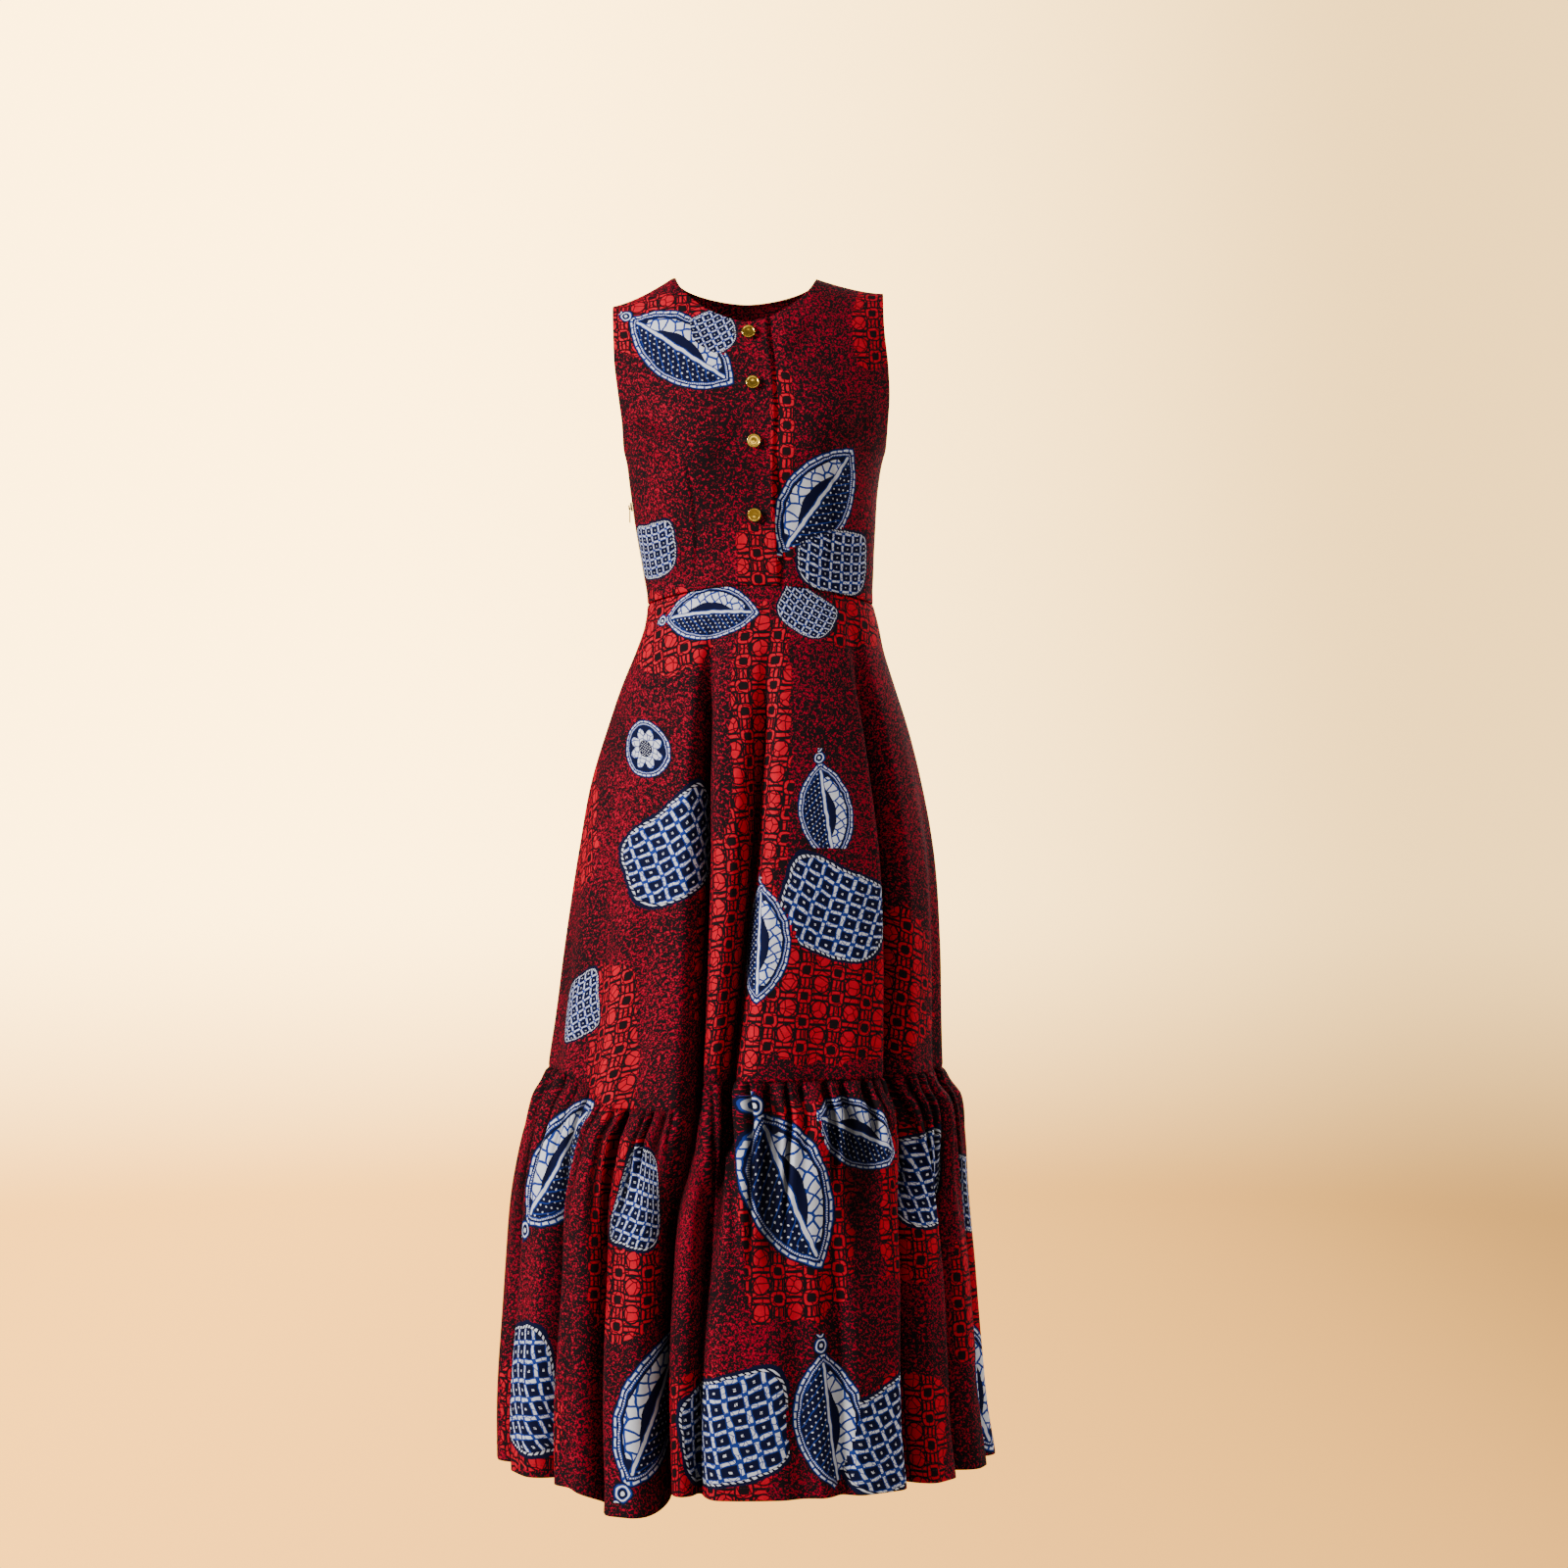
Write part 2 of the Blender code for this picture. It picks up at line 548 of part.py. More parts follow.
def steepness(angle):
    """How steeply the flounce seam runs at an angle; 1 is 2 mm a degree."""
    return np.abs(seam_height(angle + 0.5) - seam_height(angle - 0.5)) / 0.002


def gather_depth(column, angle):
    """Out on even columns and in on odd ones, unevenly; small where the seam runs steeply."""
    uneven = 0.75 + 0.35 * np.sin(column * 2.399) * np.cos(column * 0.731)
    return GATHER_DEPTH * np.where(column % 2 == 0, 1, -1) * uneven / (1 + 4 * steepness(angle) ** 2)


def tier_panel(name, surface, columns, edges, first, heights, gathers, material):
    """Half of a skirt tier between two side seams, from its upper edge to its lower one."""
    outer = []
    inner = []
    base = base_angles(first)
    for share in heights:
        angle = columns(base, share)
        high_edge, low_edge = edges(angle)
        height = high_edge + (low_edge - high_edge) * share
        normal = outward(surface, angle, height, level=True)
        points = surface(angle, height)
        if gathers:
            fade = 1 - ease((high_edge - height) / GATHER_FADE)
            points = points + normal * gather_depth(np.arange(GATHERS + 1), angle) * fade
        points[1] += HALF_GAP if first > 0 else -HALF_GAP
        outer.append(points.T)
        inner.append((points - normal * WALL).T)
    return wall_panel(name, np.array(outer), np.array(inner), material)


def skirt_edges(angle):
    """The skirt's upper and lower edges, each half a gap off its seam."""
    return waist_height(angle) - HALF_GAP, seam_height(angle) + HALF_GAP


def flounce_edges(angle):
    """The flounce's upper edge, half a gap off its seam or more where that is steep, and its hem."""
    return seam_height(angle) - HALF_GAP * (1 + 2 * steepness(angle)), hem_height(angle)


def make_skirt(material):
    """The flared skirt, front and back."""
    heights = [0.0, 0.07, 0.16, 0.28, 0.42, 0.57, 0.72, 0.87, 1.0]
    tier_panel("skirt_front", skirt_point, skirt_columns, skirt_edges, -90.0, heights, False, material)
    tier_panel("skirt_back", skirt_point, skirt_columns, skirt_edges, 90.0, heights, False, material)


def make_flounce(material):
    """The gathered flounce, front and back."""
    heights = [0.0, 0.06, 0.14, 0.24, 0.36, 0.52, 0.68, 0.84, 1.0]
    tier_panel("flounce_front", flounce_point, flounce_columns, flounce_edges, -90.0, heights, True, material)
    tier_panel("flounce_back", flounce_point, flounce_columns, flounce_edges, 90.0, heights, True, material)


def make_button(name, height, material):
    """A dished metal button, turned about its shank, standing square on the lap."""
    bm = bmesh.new()
    rings = []
    for ring in BUTTON_RINGS:
        turns = [2 * math.pi * k / BUTTON_SIDES for k in range(BUTTON_SIDES)]
        rings.append([bm.verts.new((ring.radius * math.cos(t), ring.radius * math.sin(t), ring.height))
                      for t in turns])
    for low, high in zip(rings, rings[1:]):
        for k in range(BUTTON_SIDES):
            n = (k + 1) % BUTTON_SIDES
            bm.faces.new((low[k], low[n], high[n], high[k]))
    bm.faces.new(rings[0][::-1])
    bm.faces.new(rings[-1])
    bmesh.ops.recalc_face_normals(bm, faces=bm.faces)
    mesh = bpy.data.meshes.new(name)
    bm.to_mesh(mesh)
    bm.free()
    made = add_object(name, mesh, material)
    seat = torso_point(0.0, height)
    normal = Vector(outward(torso_point, 0.0, height, level=False))
    made.location = Vector(seat) + normal * (SEAM_GAP + HALF_GAP)
    made.rotation_euler = normal.to_track_quat("Z", "Y").to_euler()
    return made


def extruded(name, outline, hole, thick, axis):
    """A plate with one hole, its outline in the plane across axis, centred on that plane."""
    bm = bmesh.new()

    def at(p, side):
        place = side * thick / 2
        return (place, p[0], p[1]) if axis == "X" else (p[0], place, p[1])

    loops = {}
    for side in (-1, 1):
        loops[side] = [[bm.verts.new(at(p, side)) for p in loop] for loop in (outline, hole)]
        edges = []
        for loop in loops[side]:
            edges += [bm.edges.new((a, b)) for a, b in zip(loop, loop[1:] + loop[:1])]
        bmesh.ops.triangle_fill(bm, edges=edges, use_beauty=True)
    for which in (0, 1):
        low, high = loops[-1][which], loops[1][which]
        for k in range(len(low)):
            n = (k + 1) % len(low)
            bm.faces.new((low[k], low[n], high[n], high[k]))
    bmesh.ops.recalc_face_normals(bm, faces=bm.faces)
    mesh = bpy.data.meshes.new(name)
    bm.to_mesh(mesh)
    bm.free()
    return mesh


def slider_frame():
    """The matrix of the zip slider: X out of the cloth, Z up along the side seam."""
    seat = Vector(torso_point(-90.0, SLIDER_HEIGHT))
    out = Vector(outward(torso_point, -90.0, SLIDER_HEIGHT, level=False))
    across = Vector((0.0, 1.0, 0.0)).cross(out).normalized()
    turned = Matrix((out, out.cross(-across).normalized(), -across)).transposed()
    return Matrix.Translation(seat) @ turned.to_4x4()


def make_zip(material):
    """The slider at the head of the side zip, and the pull that swings in its crown."""
    frame = slider_frame()
    base_out = SEAM_GAP + SLIDER_THICK
    pivot_out = base_out + CROWN_INSIDE / 2
    bpy.ops.mesh.primitive_cube_add(size=1.0)
    body = bpy.context.active_object
    body.name = "zip_slider"
    size = Vector((SLIDER_THICK, SLIDER_WIDTH, SLIDER_LENGTH))
    centre = Vector((SEAM_GAP + SLIDER_THICK / 2, 0.0, 0.0))
    body.data.transform(Matrix.Translation(centre) @ Matrix.Diagonal(size).to_4x4())
    body.data.materials.append(material)
    reach = CROWN_HALF_WINDOW + CROWN_BAR
    low = base_out - 0.0004
    high = base_out + CROWN_INSIDE
    outline = [(low, -reach), (high + CROWN_BAR, -reach), (high + CROWN_BAR, reach), (low, reach)]
    hole = [(base_out, -CROWN_HALF_WINDOW), (high, -CROWN_HALF_WINDOW),
            (high, CROWN_HALF_WINDOW), (base_out, CROWN_HALF_WINDOW)]
    crown = bpy.data.objects.new("crown", extruded("crown", outline, hole, CROWN_WIDTH, "Y"))
    bpy.context.scene.collection.objects.link(crown)
    join = body.modifiers.new("crown", "BOOLEAN")
    join.operation = "UNION"
    join.object = crown
    crown.hide_render = True
    crown.display_type = "WIRE"
    body.matrix_world = frame
    crown.matrix_world = frame

    hang = PULL_LENGTH - PULL_ROUND
    half = PULL_SLOT_HALF + PULL_ARM
    top = PULL_BAR / 2
    outline = [(half, top), (half, -PULL_SLOT_END)]
    for k in range(9):
        t = math.pi * k / 8
        outline.append((PULL_ROUND * math.cos(t), -hang - PULL_ROUND * math.sin(t)))
    outline += [(-half, -PULL_SLOT_END), (-half, top)]
    hole = [(PULL_SLOT_HALF, -top), (PULL_SLOT_HALF, -PULL_SLOT_END),
            (-PULL_SLOT_HALF, -PULL_SLOT_END), (-PULL_SLOT_HALF, -top)]
    pull = add_object("zip_pull", extruded("zip_pull", outline, hole, PULL_THICK, "X"), material)
    pull.location = frame @ Vector((pivot_out, 0.0, 0.0))
    print("zip pivot", [round(v, 6) for v in pull.location])


def make_material(name, colour, roughness, metallic):
    """A plain finish."""
    made = bpy.data.materials.new(name)
    made.use_nodes = True
    shader = made.node_tree.nodes["Principled BSDF"]
    shader.inputs["Base Color"].default_value = colour
    shader.inputs["Roughness"].default_value = roughness
    shader.inputs["Metallic"].default_value = metallic
    return made


def main():
    for old in list(bpy.data.objects):
        bpy.data.objects.remove(old)
    cloth = make_material("wax_print_cotton", CLOTH_COLOUR, 0.75, 0.0)
    gold = make_material("gold_metal", GOLD_COLOUR, 0.18, 1.0)
    dark = make_material("dark_metal", ZIP_COLOUR, 0.40, 0.8)
    make_bodice(cloth)
    make_skirt(cloth)
    make_flounce(cloth)
    for number, height in enumerate(BUTTON_HEIGHTS, start=1):
        make_button(f"button_{number}", height, gold)
    make_zip(dark)


main()
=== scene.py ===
"""Looks of a sleeveless wax print dress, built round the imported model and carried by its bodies."""

from __future__ import annotations

import logging
import math
from dataclasses import dataclass, field, fields
from enum import Enum
from functools import lru_cache
from typing import Callable, Union

import bpy
import numpy as np
from mathutils import Matrix, Vector


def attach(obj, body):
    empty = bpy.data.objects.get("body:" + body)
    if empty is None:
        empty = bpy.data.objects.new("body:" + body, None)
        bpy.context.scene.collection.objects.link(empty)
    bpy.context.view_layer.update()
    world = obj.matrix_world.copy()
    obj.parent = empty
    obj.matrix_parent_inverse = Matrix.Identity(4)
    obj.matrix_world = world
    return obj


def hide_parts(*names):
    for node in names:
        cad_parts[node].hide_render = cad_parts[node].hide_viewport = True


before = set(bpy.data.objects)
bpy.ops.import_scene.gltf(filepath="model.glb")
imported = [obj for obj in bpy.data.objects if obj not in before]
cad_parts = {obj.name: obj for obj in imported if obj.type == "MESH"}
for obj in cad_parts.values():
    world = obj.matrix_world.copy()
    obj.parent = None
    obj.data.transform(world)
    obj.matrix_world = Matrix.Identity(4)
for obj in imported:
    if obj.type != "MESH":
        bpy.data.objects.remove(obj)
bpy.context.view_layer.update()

LOG = logging.getLogger("dress")

Array = np.ndarray
Surface = Callable[[Array, Array], Array]
Pair = tuple[float, float]
Triple = tuple[float, float, float]
Piece = bpy.types.Object
Material = bpy.types.Material
Tree = bpy.types.NodeTree
Node = bpy.types.Node
Socket = bpy.types.NodeSocket
Feed = Union["Signal", Socket, Triple, float]

# The cloth's wall, half the gap at a seam, how far an under panel reaches, and how seams sink in
CLOTH = 0.0008
HALF_GAP = 0.00015
TUCK = 0.0009
TUCK_DEPTH = 0.0010
TUCK_WIDTH = 0.0030
PINCH_DEPTH = 0.0007
PINCH_WIDTH = 0.0022

# Neck, shoulders and armholes
NECK_CENTRE = -0.0047
NECK_HALF = 0.0744
NECK_TOP = 0.006
FRONT_NECK = -0.051
BACK_NECK = -0.012
NECK_ROUND = 1.6
SHOULDER_LENGTH = 0.069
SHOULDER_EASE = 1.5
SHOULDER_DROP_RIGHT = 0.030
SHOULDER_DROP_LEFT = 0.0155
PAST_SHOULDER = 1.6
TIP_ANGLE = 58.5
UNDERARM_HEIGHT = -0.176
ARMHOLE_SWEEP = 1.2
ROLL_HEIGHT = 0.078
ROLL_ROUND = 2.2

# Bodice shape
SQUARENESS = 0.87
BUST_RISE = 0.011
BUST_OUT = 0.078
BUST_WIDTH = 0.044
BUST_HEIGHT = -0.180
BUST_TALL = 0.058
CREASE_BOW = 0.05
CREASE_ENDS = 0.25

# Waist seam, flounce seam and hem
WAIST_SIDE = -0.3395
WAIST_FRONT_RISE = 0.0149
WAIST_BACK_RISE = 0.004
SEAM_HEIGHT = -0.8285
HEM_HEIGHT = -1.2365

# Button closing
LAP_EDGE = 0.0205
LAP_UNDER = 0.017
LAP_EASE = 0.016
LAP_DROP = 0.0021
BUTTON_HEIGHTS = (-0.0635, -0.1175, -0.1780, -0.2525)

# Gathers of half the flounce, and where its own folds and outline take over from the skirt's
GATHERS = 40
GATHER_DEPTH = 0.0078
FOLD_CHANGE = 0.40
OUTLINE_CHANGE = 0.03

# The slow swell of the hanging skirt, and the fall over which it sets in
SKIRT_SWELL = 0.0016
SKIRT_SWELL_FALL = 0.30


def all_of(kind: type, *values: tuple) -> tuple:
    """A table's rows as objects of one kind."""
    return tuple(kind(*row) for row in values)


class Side(Enum):
    """Which half of the body a panel covers."""

    FRONT = -90.0
    BACK = 90.0


class Hand(Enum):
    """The wearer's right is towards -X."""

    RIGHT = -1
    LEFT = 1


@dataclass(frozen=True)
class Section:
    """One level of the body's oval, in metres."""

    height: float
    half_width: float
    front: float
    back: float
    shift: float


Table = tuple[Section, ...]

TORSO = all_of(
    Section,
    (0.015, 0.1685, 0.08, 0.08, -0.0031), (0.0, 0.1683, 0.08, 0.084, -0.0031),
    (-0.052, 0.1666, 0.085, 0.093, -0.002), (-0.094, 0.164, 0.095, 0.098, 0.001),
    (-0.125, 0.1572, 0.103, 0.098, 0.0036), (-0.156, 0.1465, 0.11, 0.095, 0.0047),
    (-0.187, 0.1363, 0.11, 0.091, 0.0042), (-0.218, 0.1316, 0.104, 0.087, 0.0036),
    (-0.26, 0.1269, 0.096, 0.083, 0.0052), (-0.302, 0.1222, 0.09, 0.081, 0.0078),
    (-0.338, 0.1196, 0.088, 0.081, 0.0104), (-0.364, 0.1243, 0.092, 0.086, 0.0119),
)

SKIRT = all_of(
    Section,
    (-0.302, 0.1222, 0.09, 0.081, 0.0078), (-0.338, 0.1196, 0.088, 0.081, 0.0104),
    (-0.364, 0.1243, 0.094, 0.09, 0.0119), (-0.385, 0.13, 0.101, 0.099, 0.0104),
    (-0.426, 0.1446, 0.114, 0.116, 0.0083), (-0.468, 0.1586, 0.126, 0.132, 0.0078),
    (-0.53, 0.1758, 0.141, 0.15, 0.0062), (-0.593, 0.1872, 0.154, 0.163, 0.0062),
    (-0.697, 0.1986, 0.171, 0.178, 0.0021), (-0.78, 0.2044, 0.182, 0.187, -0.0026),
    (-0.822, 0.208, 0.187, 0.191, -0.0052), (-0.88, 0.213, 0.191, 0.195, -0.0056),
)

FLOUNCE = all_of(
    Section,
    (-0.8, 0.206, 0.1845, 0.189, -0.004), (-0.828, 0.209, 0.188, 0.192, -0.0052),
    (-0.863, 0.224, 0.2, 0.202, -0.0042), (-0.905, 0.233, 0.21, 0.211, -0.0073),
    (-0.946, 0.2387, 0.216, 0.217, -0.0099), (-1.03, 0.248, 0.225, 0.227, -0.0099),
    (-1.113, 0.2543, 0.232, 0.234, -0.0099), (-1.196, 0.26, 0.237, 0.239, -0.0083),
    (-1.237, 0.2636, 0.239, 0.242, -0.0057), (-1.28, 0.266, 0.24, 0.244, -0.005),
)


@dataclass(frozen=True)
class Fold:
    """A straight valley between two ridges: angles and widths in degrees, depth in metres.

    It starts at the share start of the way down and is whole at the share full; its ridges lean
    hang degrees over it.
    """

    top_angle: float
    low_angle: float
    depth: float
    before: float
    after: float
    hang: float
    start: float
    full: float


SKIRT_FOLDS = all_of(
    Fold,
    (-82, -74, 0.005, 11, 11, 0.0, 0.3, 1.0), (-55, -53, 0.01, 12, 12, 0.0, 0.3, 1.0),
    (-36, -33, 0.006, 8, 7, 0.0, 0.2, 0.9), (-25, -14, 0.044, 6, 7, 1.8, 0.0, 0.5),
    (7, -3.5, 0.043, 7, 6.5, 1.8, 0.03, 0.65), (26, 22, 0.004, 12, 12, 0.0, 0.2, 1.0),
    (50, 49, 0.043, 8, 8.5, 1.8, 0.0, 0.6), (76, 77, 0.01, 9, 9, 0.0, 0.2, 1.0),
    (106, 104, 0.029, 9, 8, 1.1, 0.05, 0.8), (133, 133, 0.04, 7.5, 8, 1.7, 0.0, 0.65),
    (155, 156, 0.025, 8, 8, 0.8, 0.12, 0.9), (178, -179, 0.043, 7, 7.5, 1.7, 0.0, 0.6),
    (-158, -154, 0.027, 8, 8, 0.8, 0.1, 0.9), (-133, -130, 0.04, 8, 7.5, 1.7, 0.02, 0.7),
    (-106, -104, 0.022, 9, 9, 0.6, 0.1, 0.9),
)

FLOUNCE_FOLDS = all_of(
    Fold,
    (-74, -72, 0.02, 7, 7, 0.6, 0.05, 0.7), (-52, -51, 0.036, 7, 6, 1.5, 0.0, 0.5),
    (-37, -35, 0.029, 5, 5, 1.2, 0.0, 0.5), (-17, -19, 0.051, 6.5, 6.5, 1.8, 0.0, 0.5),
    (-6, -10.5, 0.03, 4.5, 5.5, 1.0, 0.0, 0.4), (13, 14, 0.006, 6, 6, 0.0, 0.0, 0.8),
    (23, 23, 0.013, 6, 5, 0.4, 0.05, 0.8), (47, 43, 0.048, 5.8, 6.2, 1.8, 0.0, 0.4),
    (63, 61.5, 0.031, 7, 7, 1.2, 0.0, 0.5), (80, 79, 0.022, 7, 7, 0.6, 0.05, 0.7),
    (103, 102, 0.037, 7, 7, 1.2, 0.0, 0.5), (121, 122, 0.029, 7, 7, 1.0, 0.0, 0.6),
    (140, 142, 0.044, 6.5, 7, 1.5, 0.0, 0.4), (160, 161, 0.026, 7, 7, 0.8, 0.0, 0.6),
    (-179, -178, 0.044, 7, 6.5, 1.5, 0.0, 0.4), (-160, -158, 0.029, 7, 7, 0.8, 0.0, 0.6),
    (-140, -138, 0.04, 7, 7, 1.2, 0.0, 0.5), (-120, -118, 0.026, 7, 7, 0.8, 0.0, 0.6),
    (-100, -98, 0.033, 7, 7, 1.2, 0.0, 0.5),
)


@dataclass(frozen=True)
class TierForm:
    """A tier's ovals and folds, and the heights that the folds run between."""

    table: Table
    folds: tuple[Fold, ...]
    high: float
    low: float

    def down(self, height: Array) -> Array:
        """The share of the way down at a height."""
        return np.clip((self.high - height) / (self.high - self.low), 0.0, 1.0)

    def heights(self, shares: Array) -> Array:
        """The heights at shares of the way down."""
        return self.high + (self.low - self.high) * shares


SKIRT_FORM = TierForm(SKIRT, SKIRT_FOLDS, WAIST_SIDE + WAIST_FRONT_RISE, SEAM_HEIGHT)
FLOUNCE_FORM = TierForm(FLOUNCE, FLOUNCE_FOLDS, SEAM_HEIGHT, HEM_HEIGHT)


@dataclass(frozen=True)
class Dip:
    """Where an edge hangs lower, falling from start to full_start and rising from full_end."""

    start: float
    full_start: float
    full_end: float
    end: float
    drop: float


SEAM_DIP = Dip(-66, -38, -23, -6, 0.031)
HEM_DIP = Dip(-42, -33, -24, -16, 0.022)


@dataclass(frozen=True)
class Crease:
    """A soft line pressed into the bodice; its ends' places are x and height."""

    x_start: float
    z_start: float
    x_end: float
    z_end: float
    width: float
    depth: float


BODICE_CREASES: dict[Side, tuple[Crease, ...]] = {
    Side.FRONT: all_of(
        Crease,
        (0.0835, -0.186, 0.074, -0.33, 0.0016, 0.0019),
        (-0.069, -0.186, -0.059, -0.33, 0.0016, 0.0019),
        (0.13, -0.15, 0.085, -0.178, 0.0085, 0.002),
        (0.126, -0.175, 0.088, -0.205, 0.007, 0.0014),
        (-0.124, -0.152, -0.078, -0.182, 0.0085, 0.002),
        (-0.12, -0.18, -0.078, -0.208, 0.0065, 0.0013),
        (-0.115, -0.285, -0.06, -0.3, 0.007, 0.0016),
        (-0.112, -0.306, -0.05, -0.318, 0.006, 0.0014),
        (0.125, -0.282, 0.078, -0.296, 0.007, 0.0015),
        (0.122, -0.308, 0.075, -0.314, 0.006, 0.0013),
        (-0.07, -0.04, -0.035, -0.085, 0.009, 0.0013),
        (0.068, -0.04, 0.04, -0.088, 0.009, 0.0013),
        (-0.008, -0.15, -0.04, -0.205, 0.008, 0.0012),
        (0.025, -0.205, 0.048, -0.26, 0.008, 0.0011),
    ),
    Side.BACK: all_of(
        Crease,
        (-0.064, -0.19, -0.058, -0.336, 0.0016, 0.0019),
        (0.075, -0.19, 0.069, -0.336, 0.0016, 0.0019),
        (-0.115, -0.165, -0.05, -0.2, 0.009, 0.0018),
        (0.123, -0.16, 0.06, -0.206, 0.009, 0.0018),
        (-0.11, -0.29, -0.03, -0.302, 0.0075, 0.0018),
        (0.118, -0.286, 0.03, -0.306, 0.0075, 0.0018),
        (-0.08, -0.262, 0.02, -0.27, 0.009, 0.0015),
        (-0.09, -0.06, -0.055, -0.125, 0.01, 0.0015),
        (0.082, -0.056, 0.06, -0.12, 0.01, 0.0015),
    ),
}


@dataclass(frozen=True)
class Patch:
    """A soft-edged block of the lattice ground: its middle as x and height, and its half sizes."""

    x: float
    z: float
    half_x: float
    half_z: float


LATTICE_PATCHES: dict[Side, tuple[Patch, ...]] = {
    Side.FRONT: all_of(
        Patch,
        (-0.098, -0.05, 0.056, 0.036), (0.034, -0.2, 0.014, 0.11), (0.01, -0.295, 0.026, 0.035),
        (0.126, -0.055, 0.022, 0.045), (-0.082, -0.372, 0.046, 0.048),
        (0.012, -0.48, 0.034, 0.15), (0.11, -0.36, 0.034, 0.032), (-0.012, -0.7, 0.046, 0.135),
        (0.098, -0.735, 0.1, 0.085), (-0.14, -0.79, 0.03, 0.085), (-0.205, -0.56, 0.05, 0.09),
        (-0.126, -0.985, 0.04, 0.11), (0.048, -0.955, 0.06, 0.12), (-0.225, -1.18, 0.04, 0.06),
        (-0.03, -1.185, 0.062, 0.08), (0.163, -0.955, 0.034, 0.09), (0.16, -1.19, 0.045, 0.075),
        (0.24, -1.06, 0.036, 0.07),
    ),
    Side.BACK: all_of(
        Patch,
        (-0.05, -0.08, 0.07, 0.06), (0.07, -0.23, 0.04, 0.07), (-0.06, -0.44, 0.05, 0.11),
        (0.1, -0.56, 0.06, 0.12), (-0.11, -0.74, 0.07, 0.09), (0.03, -0.79, 0.05, 0.08),
        (-0.18, -1.0, 0.06, 0.1), (0.06, -0.96, 0.06, 0.11), (-0.06, -1.19, 0.07, 0.08),
        (0.18, -1.16, 0.06, 0.08),
    ),
}


class Kind(Enum):
    """The generic figures of the print, by the place of each in figure space."""

    LEAF = 0
    ROSETTE = 1
    BASKET = 2


LEAF, ROSETTE, BASKET = Kind


@dataclass(frozen=True)
class Figure:
    """One printed figure: its place as x and height, its turn in degrees and its scale."""

    x: float
    z: float
    turn: float
    scale: float
    kind: Kind


FIGURES: dict[Side, tuple[Figure, ...]] = {
    Side.FRONT: all_of(
        Figure,
        (-0.074, -0.08, 142, 0.8, LEAF), (-0.046, -0.064, -160, 0.52, BASKET),
        (0.07, -0.24, -128, 0.82, LEAF), (0.09, -0.296, 172, 0.72, BASKET),
        (-0.104, -0.284, -176, 0.6, BASKET), (-0.042, -0.352, 172, 0.62, LEAF),
        (0.06, -0.352, 152, 0.5, BASKET), (0.078, -0.56, 105, 0.62, LEAF),
        (0.09, -0.655, 166, 0.98, BASKET), (-0.072, -0.59, -164, 1.05, BASKET),
        (-0.108, -0.492, 20, 0.6, ROSETTE), (0.01, -0.69, 94, 0.72, LEAF),
        (-0.176, -0.76, 100, 0.6, BASKET), (0.238, -0.96, 176, 0.85, BASKET),
        (0.182, -0.93, -170, 0.95, BASKET), (0.11, -0.88, 160, 0.72, LEAF),
        (0.04, -0.935, 114, 0.98, LEAF), (-0.11, -0.945, -102, 0.8, BASKET),
        (-0.196, -0.92, -120, 1.0, LEAF), (0.228, -1.16, 104, 0.9, LEAF),
        (0.142, -1.18, -158, 1.05, BASKET), (0.08, -1.165, 96, 0.82, LEAF),
        (-0.028, -1.165, -168, 1.1, BASKET), (-0.092, -1.15, -118, 1.0, LEAF),
        (-0.233, -1.15, 110, 1.0, BASKET),
    ),
    Side.BACK: all_of(
        Figure,
        (-0.07, -0.15, 35, 0.85, LEAF), (0.06, -0.1, -25, 0.75, BASKET),
        (0.02, -0.29, 10, 0.7, LEAF), (-0.09, -0.3, -10, 0.6, BASKET),
        (0.05, -0.46, -70, 0.9, LEAF), (-0.11, -0.6, 15, 1.0, BASKET),
        (0.0, -0.64, 80, 0.8, ROSETTE), (0.15, -0.74, -15, 0.95, BASKET),
        (-0.22, -0.93, 70, 0.95, LEAF), (-0.09, -0.93, -10, 1.0, BASKET),
        (-0.02, -0.9, 60, 0.8, LEAF), (0.14, -0.94, 10, 1.0, BASKET),
        (0.22, -0.98, -65, 0.9, LEAF), (-0.16, -1.16, -30, 1.0, LEAF),
        (0.01, -1.17, 12, 1.05, BASKET), (0.12, -1.15, 75, 0.9, LEAF),
    ),
}

# A patch's fade, a figure's reach, how near its place lies to its panel, and where none reaches
PATCH_EDGE = 1.5
FIGURE_REACH = 0.105
FIGURE_SEAT = 0.012
NOWHERE = 9.0


def ease(share: Array | float) -> Array:
    """Blends from 0 to 1 with a level start and end, and holds a share outside them."""
    share = np.clip(share, 0.0, 1.0)
    return share * share * (3.0 - 2.0 * share)


@lru_cache(maxsize=None)
def curve(table: Table, column: str) -> tuple[Array, Array, Array]:
    """A table's column as a curve.

    Args:
        table: Sections from the highest to the lowest.
        column: The name of a field of Section.

    Returns:
        Its heights from the lowest up, its values and its slopes.
    """
    heights = np.array([row.height for row in table])[::-1]
    values = np.array([getattr(row, column) for row in table])[::-1]
    return heights, values, np.gradient(values, heights)


def read(table: Table, column: str, height: Array | float) -> Array:
    """Reads a table's column at a height, on a smooth curve through its rows.

    Args:
        table: Sections from the highest to the lowest.
        column: The name of a field of Section.
        height: Heights in metres.

    Returns:
        The column's values there.
    """
    heights, values, slopes = curve(table, column)
    place = np.clip(height, heights[0], heights[-1])
    i = np.clip(np.searchsorted(heights, place) - 1, 0, len(heights) - 2)
    span = heights[i + 1] - heights[i]
    t = (place - heights[i]) / span
    low = (1 + 2 * t) * (1 - t) ** 2 * values[i] + t * (1 - t) ** 2 * span * slopes[i]
    high = t * t * (3 - 2 * t) * values[i + 1] + t * t * (t - 1) * span * slopes[i + 1]
    return low + high


